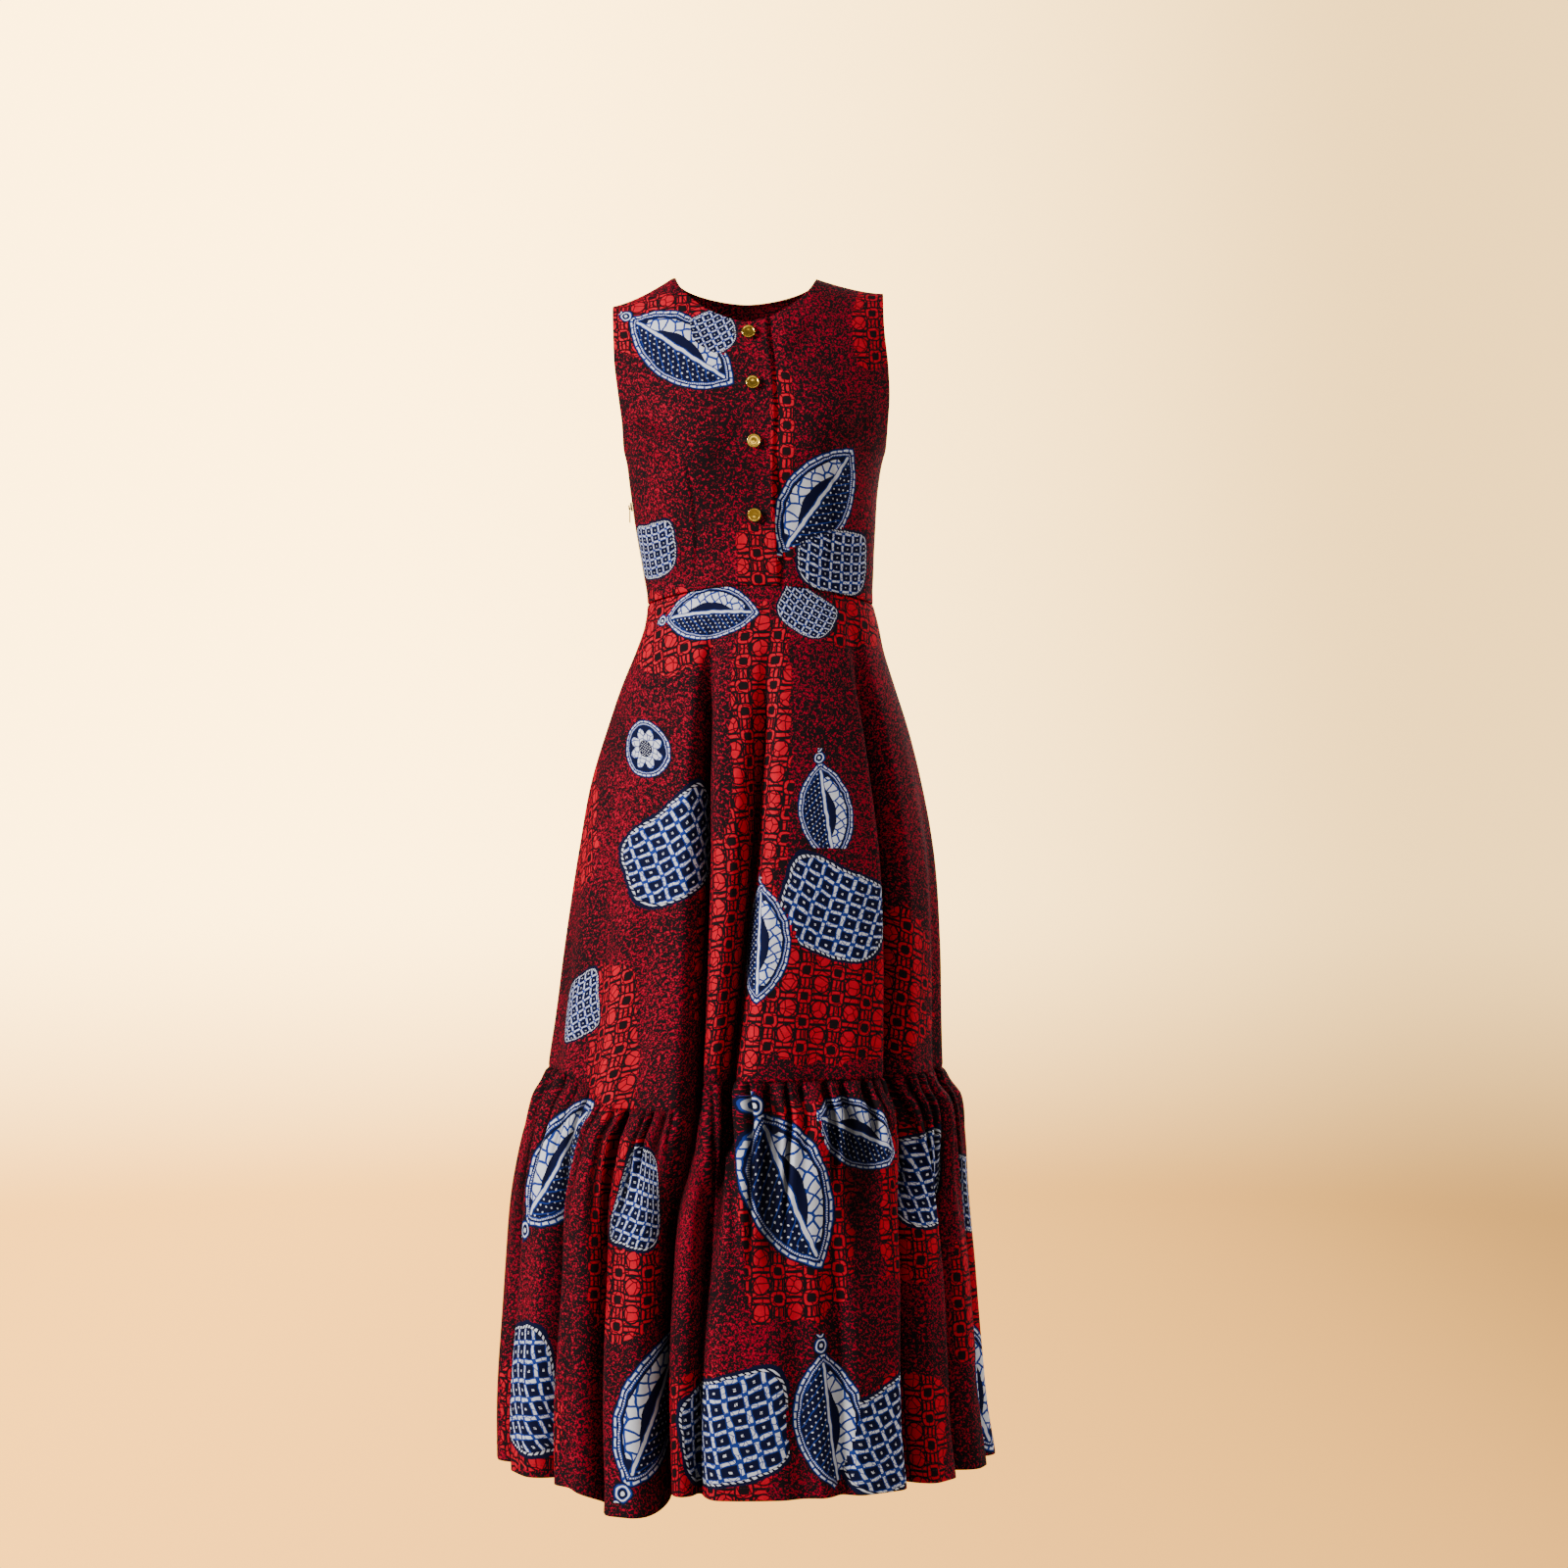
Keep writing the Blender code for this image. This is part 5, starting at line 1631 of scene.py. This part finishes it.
@dataclass
class PrintedGround:
    """The red and near black ground: broken speckle, and a lattice of rounds and squares."""

    # Where the speckle gives way to the lattice, and how ragged that edge is, and its scale
    edge: float = 0.60
    ragged: float = 0.55
    rags: float = 42.0
    # The red's unevenness: its scale, and the least and the most of red, green and blue
    uneven: float = 160.0
    least: Triple = (0.72, 1.0, 0.6)
    most: Triple = (1.12, 1.4, 1.3)
    # The speckle: scale and distortion of its grains and its curls, and what they leave bare
    grains: Pair = (400.0, 1.2)
    curls: Pair = (225.0, 1.5)
    curl_width: float = 0.030
    grain_edge: float = 0.590
    clouding: float = -0.40
    clouds: float = 11.0
    # The lattice: pitches, how far it wavers, rounds, ringed squares, bars up and bars over
    round_pitch: float = 0.0340
    row_pitch: float = 0.0265
    waver: Pair = (0.0036, 0.0030)
    wavering: float = 70.0
    round_radius: float = 0.0078
    square: Pair = (0.0045, 0.0071)
    clear_of_square: float = 0.0088
    clear_of_round: float = 0.0094
    bars_up: Pair = (0.0048, 0.0014)
    bars_up_reach: float = 0.0060
    bars_over: Pair = (0.0062, 0.0017)
    bars_over_from: float = 0.0078
    cracks: Pair = (105.0, 0.050)

    def group(self) -> Tree:
        """The group that draws the ground."""
        group = Group("printed_ground")
        u, v = group.uv("UVMap")
        place = group.vector(u, v)
        edge = group.attribute("lattice") + (group.noise(place, self.rags, 2.0) - 0.5) * self.ragged
        in_lattice = edge.above(self.edge)
        red = self._speckle(group, place) * edge.below(self.edge)
        red = red + self._lattice(group, u, v, place) * in_lattice
        dye = group.mix(in_lattice, DYES.faint, self._red(group, place))
        group.out("Color", group.mix(red, DYES.ground, dye))
        return group.tree

    def _red(self, group: Group, place: Socket) -> Socket:
        """The red dye, a little uneven as it takes on the cotton."""
        ends = (tuple(a * b for a, b in zip(end, DYES.red)) for end in (self.least, self.most))
        return group.mix(group.noise(place, self.uneven, 2.0), *ends)

    def _speckle(self, group: Group, place: Socket) -> Signal:
        """Small curled specks, thicker in some clouds than in others."""
        clouds = group.noise(place, self.clouds, 3.0)
        grains = group.noise(place, self.grains[0], 0.0, self.grains[1])
        curls = group.noise(place, self.curls[0], 0.0, self.curls[1])
        bare = abs(curls - 0.5).above(self.curl_width)
        return grains.above((clouds - 0.5) * self.clouding + self.grain_edge) * bare

    def _lattice(self, group: Group, u: Signal, v: Signal, place: Socket) -> Signal:
        """The lattice: filled rounds, ringed squares between them and short linking bars."""
        wobble = group.noise(place, self.wavering, 1.0) - 0.5
        x = u + wobble * self.waver[0]
        y = v + wobble * self.waver[1]
        wide, tall = self.round_pitch, self.row_pitch
        sx, sy = x.cell(wide, 0.5), y.cell(tall, 0.5)
        rounds = length(x.cell(wide), y.cell(tall) * 0.95)
        square = squarish(sx, sy)
        clear = square.above(self.clear_of_square)
        bars_up = abs(x.cell(self.bars_up[0])).below(self.bars_up[1])
        bars_up = bars_up * abs(sx).below(self.bars_up_reach) * clear
        bars_over = abs(y.cell(self.bars_over[0])).below(self.bars_over[1]) * clear
        bars_over = bars_over * rounds.above(self.clear_of_round)
        bars_over = bars_over * abs(sx).above(self.bars_over_from)
        whole = rounds.below(self.round_radius).either(square.between(*self.square))
        cracks = group.cracks(place, self.cracks[0]).above(self.cracks[1])
        return whole.either(bars_up).either(bars_over) * cracks


def new_material(name: str) -> Material:
    """A new material with its nodes."""
    made = bpy.data.materials.new(name)
    made.use_nodes = True
    return made


def join_looks(made: Material, looks: Node, bump: Pair, **plain: Feed) -> Material:
    """Joins a group's colour, roughness and height to a material's shader.

    Args:
        made: The material.
        looks: The node that holds the group.
        bump: The strength and the distance of the height's bump.
        plain: The shader's plain values; _ stands for a space.

    Returns:
        The material.
    """
    tree = made.node_tree
    feeds = {"Strength": bump[0], "Distance": bump[1], "Height": looks.outputs["Height"]}
    raised = add_node(tree, "Bump", feeds)
    feeds = {"Base Color": looks.outputs["Color"], "Roughness": looks.outputs["Roughness"]}
    feeds |= {"Normal": raised.outputs["Normal"]}
    feeds |= {name.replace("_", " "): value for name, value in plain.items()}
    feed(tree, tree.nodes["Principled BSDF"], feeds)
    return made


@dataclass(frozen=True)
class WaxPrint:
    """Printed cotton: a matt plain weave under the dyes, with painted shade in its folds."""

    roughness: float = 0.86
    sheen: float = 0.015
    sheen_tint: Triple = (1.0, 0.75, 0.75)
    specular: float = 0.06
    bump: Pair = (0.35, 0.00025)
    # Metres from thread to thread, and how much of the dye a closed fold's painted shade takes away
    weave: float = 0.00052
    fold_shade: float = 0.86
    # Slubs across and along a thread, the crumple's scale, and what each adds to the height
    slubs: Pair = (1400.0, 160.0)
    crumple: float = 28.0
    heights: Triple = (0.35, 0.35, 4.0)
    # What the threads, the slubs and the plain dye give to the colour
    shades: Triple = (0.10, 0.16, 0.80)

    def material(self) -> Material:
        """The cloth's material."""
        made = new_material("wax_print")
        tree = made.node_tree
        looks = add_node(tree, "Group", {}, node_tree=PrintedGround().group())
        for name, group in (("Ground", PrintedFigures().group()), ("Dye", self._cotton())):
            looks = add_node(tree, "Group", {name: looks.outputs["Color"]}, node_tree=group)
        return join_looks(
            made,
            looks,
            self.bump,
            Specular_IOR_Level=self.specular,
            Sheen_Weight=self.sheen,
            Sheen_Roughness=0.5,
            Sheen_Tint=self.sheen_tint,
        )

    def _cotton(self) -> Tree:
        """The group of the weave: slight shade in the dye, painted shade in the folds, height and
        roughness.
        """
        group = Group("plain_weave_and_shade_paint")
        dye = group.colour_in("Dye")
        u, v = group.uv("UVMap")
        turn = 2.0 * math.pi / self.weave
        threads = ((u * turn).op("SINE") * (v * turn).op("SINE") + 1.0) * 0.5
        slub = group.noise(group.vector(u * self.slubs[0], v * self.slubs[1]), 1.0, 1.0)
        crumple = group.noise(group.vector(u, v), self.crumple, 3.0)
        # Painted shade: the dye is darkened where the mesh carries its fold shade
        left_by_shade_paint = group.attribute("painted_shade") * -self.fold_shade + 1.0
        woven, slubbed, plain = self.shades
        shade = (threads * woven + slub * slubbed + plain) * left_by_shade_paint
        grey = add_node(group.tree, "CombineColor", {0: shade, 1: shade, 2: shade}).outputs[0]
        group.out("Color", group.mix(1.0, dye, grey, "MULTIPLY"))
        high, slub_high, crumple_high = self.heights
        group.out("Height", threads * high + slub * slub_high + crumple * crumple_high)
        group.out("Roughness", slub * 0.12 + (self.roughness - 0.06))
        return group.tree


@dataclass(frozen=True)
class Polish:
    """A hard or thread finish: one colour, with fine wear in its roughness."""

    name: str
    colour: Triple
    metallic: float
    roughness: float
    wear: float
    grain: float
    coat: float = 0.0
    bump: Pair = (0.15, 0.0001)
    # How far handling dulls each of red, green and blue, and how much finer the height's grain is
    dulled: Triple = (0.82, 0.80, 0.76)
    finer: float = 6.0

    def material(self) -> Material:
        """The finish's material."""
        made = new_material(self.name)
        worn = add_node(made.node_tree, "Group", {}, node_tree=self._worn())
        return join_looks(made, worn, self.bump, Metallic=self.metallic, Coat_Weight=self.coat)

    def _worn(self) -> Tree:
        """The group of fine handling marks."""
        group = Group(self.name + "_wear")
        place = group.object_place()
        marks = group.noise(place, self.grain, 3.0)
        dull = tuple(share * part for share, part in zip(self.dulled, self.colour))
        group.out("Color", group.mix(marks, dull, self.colour))
        group.out("Roughness", (marks - 0.5) * self.wear + self.roughness)
        group.out("Height", group.noise(place, self.grain * self.finer, 2.0))
        return group.tree


GOLD = Polish("gold", (1.0, 0.64, 0.09), 1.0, 0.24, 0.12, 420.0)
ZIP_METAL = Polish("zip_enamel", (0.014, 0.012, 0.013), 0.30, 0.42, 0.20, 500.0, coat=0.1)
DARK_THREAD = Polish("dark_thread", (0.030, 0.006, 0.009), 0.0, 0.70, 0.10, 1600.0)


@dataclass(frozen=True)
class Seat:
    """A place on the dress: its point, the way out of the cloth and the way up along it."""

    point: Vector
    out: Vector
    up: Vector

    def matrix(self) -> Matrix:
        """The frame whose Z points out of the cloth and whose Y points up along it."""
        across = self.up.cross(self.out).normalized()
        up = self.out.cross(across).normalized()
        turned = Matrix((across, up, self.out)).transposed()
        return Matrix.Translation(self.point) @ turned.to_4x4()


def bodice_seat(x: float, z: float, lift: float) -> Seat:
    """A place on the front of the bodice.

    Args:
        x: The sideways place.
        z: The height.
        lift: How far it stands off the cloth.

    Returns:
        The place.
    """
    shift = float(read(TORSO, "shift", z))
    half = float(read(TORSO, "half_width", z))
    angle = math.degrees(math.asin((x - shift) / half))
    point = Vector(DressForm.smooth_torso(angle, z))
    out = Vector(outward(DressForm.smooth_torso, angle, z, level=False))
    return Seat(point + out * lift, out, Vector((0.0, 0.0, 1.0)))


def apply_all(made: Piece) -> None:
    """Applies an object's modifiers in order."""
    bpy.ops.object.select_all(action="DESELECT")
    made.select_set(True)
    bpy.context.view_layer.objects.active = made
    for modifier in list(made.modifiers):
        bpy.ops.object.modifier_apply(modifier=modifier.name)


@dataclass(frozen=True)
class Ring:
    """One ring of a turned piece, in metres."""

    radius: float
    height: float


@dataclass
class Buttons:
    """Gold dished buttons with a raised rim, each on its shank."""

    rings: tuple[Ring, ...] = all_of(
        Ring,
        (0.0018, 0.0), (0.002, 0.001), (0.004, 0.0013), (0.006, 0.002), (0.007, 0.0029),
        (0.0071, 0.0034), (0.0067, 0.0039), (0.006, 0.004), (0.0055, 0.0036), (0.005, 0.0034),
        (0.0036, 0.0037), (0.002, 0.0034), (0.0008, 0.0031),
    )
    sides: int = 36
    lift: float = 0.00045

    def build(self, material: Material) -> None:
        """Makes one button and copies it to every seat."""
        first = self._turned()
        for number, height in enumerate(BUTTON_HEIGHTS, start=1):
            mesh = first.data.copy()
            x = float(read(TORSO, "shift", height))
            mesh.transform(bodice_seat(x, height, self.lift).matrix())
            made = new_piece(f"button_{number}_gold", mesh)
            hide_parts(f"button_{number}")
            show(made, "dress", material)
        bpy.data.objects.remove(first)

    def _turned(self) -> Piece:
        """A button standing at the origin, drawn out ring by ring."""
        bpy.ops.object.select_all(action="DESELECT")
        first = self.rings[0]
        bpy.ops.mesh.primitive_circle_add(
            vertices=self.sides, radius=first.radius, fill_type="NGON", location=(0, 0, 0)
        )
        made = bpy.context.active_object
        bpy.ops.object.mode_set(mode="EDIT")
        bpy.ops.mesh.select_all(action="SELECT")
        for low, high in zip(self.rings, self.rings[1:]):
            rise = (0.0, 0.0, high.height - low.height)
            bpy.ops.mesh.extrude_region_move(TRANSFORM_OT_translate={"value": rise})
            size = high.radius / low.radius
            bpy.ops.transform.resize(value=(size, size, 1.0))
        bpy.ops.mesh.select_all(action="SELECT")
        bpy.ops.mesh.normals_make_consistent(inside=False)
        bpy.ops.object.mode_set(mode="OBJECT")
        smooth = made.modifiers.new("smooth", "SUBSURF")
        smooth.levels = 1
        smooth.render_levels = 1
        apply_all(made)
        made.data.shade_smooth()
        return made


@dataclass
class Thread:
    """Short stitches of thread, joined into one mesh."""

    name: str
    sides: int = 6
    # Along a stitch: the share of its run, of its radius, and how far off the cloth, in radii
    rings: tuple[Triple, ...] = (
        (0.0, 0.35, -0.6),
        (0.16, 0.9, 0.15),
        (0.5, 1.0, 0.45),
        (0.84, 0.9, 0.15),
        (1.0, 0.35, -0.6),
    )
    points: list[Array] = field(default_factory=list)
    faces: list[list[int]] = field(default_factory=list)
    count: int = 0

    def stitch(self, start: Array, end: Array, out: Array, radius: float) -> None:
        """Adds one stitch that bulges off the cloth and dips in at both ends.

        Args:
            start: Where the thread leaves the cloth.
            end: Where it enters the cloth again.
            out: The way out of the cloth.
            radius: The thread's radius.
        """
        run = end - start
        along = run / float(np.linalg.norm(run))
        side = np.cross(along, out)
        side = side / np.linalg.norm(side)
        top = np.cross(side, along)
        turns = 2 * math.pi * np.arange(self.sides) / self.sides
        for share, thick, rise in self.rings:
            middle = start + run * share + top * radius * rise
            circle = np.outer(np.cos(turns), side) + np.outer(np.sin(turns), top)
            self.points.append(middle + circle * radius * thick)
        n = self.sides
        base = self.count
        last = base + (len(self.rings) - 1) * n
        for ring in range(base, last, n):
            for k in range(n):
                a, b = ring + k, ring + (k + 1) % n
                self.faces.append([a, a + n, b + n, b])
        self.faces.append(list(range(base, base + n)))
        self.faces.append(list(range(last + n - 1, last - 1, -1)))
        self.count = last + n

    def build(self, material: Material) -> None:
        """Makes the stitches' mesh and hangs it on the dress."""
        mesh = bpy.data.meshes.new(self.name)
        mesh.from_pydata(np.concatenate(self.points).tolist(), [], self.faces)
        mesh.update()
        mesh.shade_smooth()
        show(new_piece(self.name, mesh), "dress", material)


@dataclass
class Sewing:
    """The buttonholes, and the rows of stitches that show."""

    hole_start: float = -0.0150
    hole_end: float = -0.0030
    hole_half: float = 0.0009
    slit_half: float = 0.00012
    hole_stitches: int = 19
    hole_lift: float = 0.0001
    satin: float = 0.00030
    bar: float = 0.00042
    bar_off: float = 0.0003
    stitch: float = 0.0026
    stitch_gap: float = 0.0011
    stitch_start: float = 0.003
    thread: float = 0.00022
    lap_inset: float = 0.0045
    hem_height: float = 0.013
    # Columns' ends that the lap's row leaves free
    lap_free: int = 4

    def build(self, material: Material, grids: dict[str, ClothGrid]) -> None:
        """Sews the buttonholes, the lap and the hem.

        Args:
            material: The thread.
            grids: The cloth's grids by node.
        """
        for number, height in enumerate(BUTTON_HEIGHTS, start=1):
            self._buttonhole(f"buttonhole_{number}", height, material)
        front = grids["front_right"]
        rows = slice(self.lap_free, -self.lap_free)
        outer, inner = front.outer[rows], front.inner[rows]
        self._row("lap_stitches", outer, inner, run_along(outer, 1), self.lap_inset, material)
        for node in ("flounce_front", "flounce_back"):
            outer, inner = (np.swapaxes(w, 0, 1) for w in (grids[node].outer, grids[node].inner))
            drop = outer[:, -1:, 2] - outer[..., 2]
            self._row(node + "_hem_stitches", outer, inner, drop, -self.hem_height, material)

    def _buttonhole(self, name: str, height: float, material: Material) -> None:
        """Sews one buttonhole beside its button: two satin edges, a slit and a bar at each end."""
        thread = Thread(name)
        centre = float(read(TORSO, "shift", height))

        def at(x: float, z: float) -> tuple[Array, Array]:
            """A place by the button, and the way out of the cloth there."""
            seat = bodice_seat(centre + x, height + z, self.hole_lift)
            return np.array(seat.point), np.array(seat.out)

        last = self.hole_stitches - 1
        for k in range(last + 1):
            x = self.hole_start + (self.hole_end - self.hole_start) * k / last
            for way in (-1, 1):
                start, out = at(x, way * self.slit_half)
                end, _ = at(x + 0.0001, way * self.hole_half * 1.25)
                thread.stitch(start, end, out, self.satin)
        for x in (self.hole_start - self.bar_off, self.hole_end + self.bar_off):
            start, out = at(x, -self.hole_half * 1.5)
            end, _ = at(x, self.hole_half * 1.5)
            thread.stitch(start, end, out, self.bar)
        thread.build(material)

    def _row(
        self, name: str, outer: Array, inner: Array, depth: Array, level: float, material: Material
    ) -> None:
        """Sews a row of stitches across a panel's lines of points.

        Args:
            name: The row's name.
            outer: The panel's outer points, line by line.
            inner: The inner points.
            depth: A measure that grows along each line.
            level: The measure at which the row runs.
            material: The thread.
        """
        line, ways = [], []
        for points, backs, values in zip(outer, inner, depth):
            i = int(np.argmax(values > level))
            part = (level - values[i - 1]) / (values[i] - values[i - 1])
            line.append(points[i - 1] + (points[i] - points[i - 1]) * part)
            ways.append((points[i] - backs[i]) / CLOTH)
        thread = Thread(name)
        run = run_along(np.array(line))
        place = self.stitch_start
        while place + self.stitch < run[-1]:
            start, end = (self._read(line, run, s) for s in (place, place + self.stitch))
            thread.stitch(start, end, self._read(ways, run, place), self.thread)
            place += self.stitch + self.stitch_gap
        thread.build(material)

    @staticmethod
    def _read(values: list[Array], run: Array, place: float) -> Array:
        """A line's value at a distance along it."""
        return np.array([np.interp(place, run, column) for column in np.array(values).T])


@dataclass
class SideZip:
    """The zip in the wearer's right side seam: teeth, slider and swinging pull."""

    foot: float = -0.452
    pitch: float = 0.0016
    tooth: Triple = (0.00075, 0.0017, 0.0009)
    off_middle: float = 0.00045
    sunk: float = 0.00005
    rounding: float = 0.00022
    head: float = -0.243
    # Degrees: the least edge that is rounded, and the least that stays sharp in the shading
    rounded_from: float = 35.0
    sharp_from: float = 50.0

    def build(self, metal: Material) -> None:
        """Makes the teeth, and finishes the slider and the pull."""
        self._teeth(metal)
        for node, body in (("zip_slider", "dress"), ("zip_pull", "pull")):
            self._rounded(node, body, metal)

    def _teeth(self, metal: Material) -> None:
        """Makes the closed chain: one tooth modelled, then copied down both sides."""
        bpy.ops.object.select_all(action="DESELECT")
        bpy.ops.mesh.primitive_cube_add(size=1.0, location=(0, 0, 0))
        tooth = bpy.context.active_object
        tooth.data.transform(Matrix.Diagonal((*self.tooth, 1.0)))
        self._round(tooth, 1)
        points = np.array([v.co for v in tooth.data.vertices])
        faces = [list(face.vertices) for face in tooth.data.polygons]
        bpy.data.objects.remove(tooth)
        all_points, all_faces = [], []
        count = int((self.head - self.foot) / self.pitch)
        for k in range(count):
            z = self.head - k * self.pitch
            way = self.off_middle if k % 2 else -self.off_middle
            start = k * len(points)
            all_points.append(points + np.array([self._seam(z) - self.sunk, way, z]))
            all_faces += [[start + i for i in face] for face in faces]
        mesh = bpy.data.meshes.new("zip_teeth")
        mesh.from_pydata(np.concatenate(all_points).tolist(), [], all_faces)
        mesh.update()
        show(new_piece("zip_teeth", mesh), "dress", metal)

    @staticmethod
    def _seam(z: float) -> float:
        """How far out the wearer's right side seam lies at a height."""
        if z > WAIST_SIDE:
            return float(DressForm.smooth_torso(-90.0, z)[0])
        return float(DressForm.skirt(np.array(-90.0), np.array(z))[0])

    def _round(self, made: Piece, segments: int) -> None:
        """Rounds a piece's sharp edges."""
        bevel = made.modifiers.new("round", "BEVEL")
        bevel.width = self.rounding
        bevel.segments = segments
        bevel.limit_method = "ANGLE"
        bevel.angle_limit = math.radians(self.rounded_from)
        apply_all(made)

    def _rounded(self, node: str, body: str, metal: Material) -> None:
        """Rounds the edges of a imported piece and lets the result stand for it."""
        source = bpy.data.objects[node]
        mesh = source.data.copy()
        mesh.transform(source.matrix_world)
        made = new_piece(node + "_enamel", mesh)
        self._round(made, 2)
        made.data.shade_smooth()
        made.data.set_sharp_from_angle(angle=math.radians(self.sharp_from))
        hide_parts(node)
        show(made, body, metal)


@dataclass(frozen=True)
class Lamp:
    """A soft light: its place, the height on the middle that it faces, its size and watts."""

    name: str
    place: Triple
    aim: float
    size: Pair
    power: float
    colour: Triple = (1.0, 0.965, 0.92)

    def hang(self) -> None:
        """Hangs the light."""
        light = bpy.data.lights.new(self.name, "AREA")
        light.shape = "RECTANGLE"
        light.size, light.size_y = self.size
        light.energy = self.power
        light.color = self.colour
        made = new_piece(self.name, light)
        made.location = self.place
        way = Vector((0.0, 0.0, self.aim)) - Vector(self.place)
        made.rotation_euler = way.to_track_quat("-Z", "Y").to_euler()


LAMPS = (
    Lamp("key", (-3.2, -2.0, 1.0), -0.65, (0.7, 0.9), 232.0),
    Lamp("fill", (2.3, -2.8, 0.2), -0.70, (1.2, 1.2), 18.0),
    Lamp("front", (0.2, -3.7, 0.5), -0.60, (2.0, 1.2), 18.0),
    Lamp("back", (1.6, 2.6, 0.8), -0.60, (1.6, 1.6), 62.0),
    Lamp("side", (3.1, 1.0, 0.7), -0.60, (1.2, 1.2), 50.0),
)


@dataclass
class Studio:
    """A pale seamless sweep, soft lights and the camera."""

    # The round sweep: its floor's height and radius, the bend's radius, and the wall's top
    floor: float = -1.41
    flat: float = 3.4
    bend: float = 1.6
    top: float = 3.6
    sides: int = 96
    bend_rings: int = 17
    camera: Triple = (0.0354, -3.3, -0.530)
    lens: float = 71.39
    sensor: float = 36.0
    # Light from all round, the paper's own colour, and the painted light on it that the camera sees
    air: Triple = (1.0, 0.94, 0.88)
    air_strength: float = 0.12
    paper: Triple = (0.26, 0.22, 0.17)
    wall_left: Triple = (10.0, 6.4, 2.2)
    wall_right: Triple = (3.0, 1.85, 0.62)
    floor_left: Triple = (4.2, 1.90, 0.33)
    floor_right: Triple = (1.15, 0.57, 0.14)
    # Where the painted light changes: the left edge and the width across, and the height above the
    # floor
    across: Pair = (-0.9, 2.4)
    rise: float = 0.55

    def build(self) -> None:
        """Makes the studio."""
        self._sweep()
        for lamp in LAMPS:
            lamp.hang()
        world = bpy.data.worlds.new("studio")
        bpy.context.scene.world = world
        world.use_nodes = True
        tree = world.node_tree
        feed(tree, tree.nodes["Background"], {"Color": self.air, "Strength": self.air_strength})
        camera = bpy.data.cameras.new("photo_camera")
        camera.lens = self.lens
        camera.sensor_width = self.sensor
        camera.dof.use_dof = False
        held = new_piece("photo_camera", camera)
        held.location = self.camera
        held.rotation_euler = (math.pi / 2, 0.0, 0.0)
        bpy.context.scene.camera = held

    def _sweep(self) -> None:
        """Makes the round floor that rises into a wall all round, so that no view sees its end."""
        count = self.sides
        turns = np.linspace(0.0, math.pi / 2, self.bend_rings)
        out = np.append(self.flat + self.bend * np.sin(turns), self.flat + self.bend)
        high = np.append(self.bend * (1 - np.cos(turns)), self.top - self.floor) + self.floor
        around = 2 * math.pi * np.arange(count) / count
        points = [(0.0, 0.0, self.floor)]
        points += [(r * math.cos(t), r * math.sin(t), z) for r, z in zip(out, high) for t in around]
        faces: list[tuple[int, ...]] = []
        for k in range(count):
            after = (k + 1) % count
            faces.append((0, 1 + k, 1 + after))
            for low in range(1, 1 + (len(out) - 1) * count, count):
                upper = low + count
                faces.append((low + k, upper + k, upper + after, low + after))
        mesh = bpy.data.meshes.new("sweep")
        mesh.from_pydata(points, [], faces)
        mesh.shade_smooth()
        made = new_piece("sweep", mesh)
        mesh.materials.append(self._paper())

    def _paper(self) -> Material:
        """The paper, with painted light for the camera only, so it throws little light on the dress.
        """
        paper = new_material("paper")
        tree = paper.node_tree
        shader = tree.nodes["Principled BSDF"]
        feed(tree, shader, {"Base Color": self.paper, "Roughness": 0.9})
        painted_tones = add_node(tree, "Group", {}, node_tree=self._tones())
        painted_glow = add_node(tree, "Emission", {"Color": painted_tones.outputs["Color"]})
        seen = add_node(tree, "LightPath", {}).outputs["Is Camera Ray"]
        either = add_node(tree, "MixShader", {0: seen, 1: shader.outputs[0], 2: painted_glow.outputs[0]})
        feed(tree, tree.nodes["Material Output"], {"Surface": either.outputs[0]})
        return paper

    def _tones(self) -> Tree:
        """The group of the paper's painted light: paler to the left and up the wall."""
        group = Group("paper_painted_light")
        x, _, z = group.split(group.object_place())
        left, width = self.across
        right = ((x - left) / width).op("SMOOTH_MAX", 0.0, 0.2).op("SMOOTH_MIN", 1.0, 0.2)
        up = ((z - self.floor) / self.rise).op("SMOOTH_MIN", 1.0, 0.3)
        # Painted light on the floor and on the wall, brighter to the left
        floor = group.mix(right, self.floor_left, self.floor_right)
        wall = group.mix(right, self.wall_left, self.wall_right)
        group.out("Color", group.mix(up, floor, wall))
        return group.tree


def main() -> None:
    """Builds the looks piece by piece."""
    logging.basicConfig(level=logging.INFO, format="%(name)s: %(message)s")
    cloth = WaxPrint().material()
    thread = DARK_THREAD.material()
    grids = Bodice().build(cloth)
    for side, half in ((Side.FRONT, "front"), (Side.BACK, "back")):
        grids["skirt_" + half] = SkirtTier("skirt_" + half, side).build(cloth)
        grids["flounce_" + half] = FlounceTier("flounce_" + half, side).build(cloth)
    Buttons().build(GOLD.material())
    Sewing().build(thread, grids)
    SideZip().build(ZIP_METAL.material())
    Studio().build()


if __name__ == "__main__":
    main()
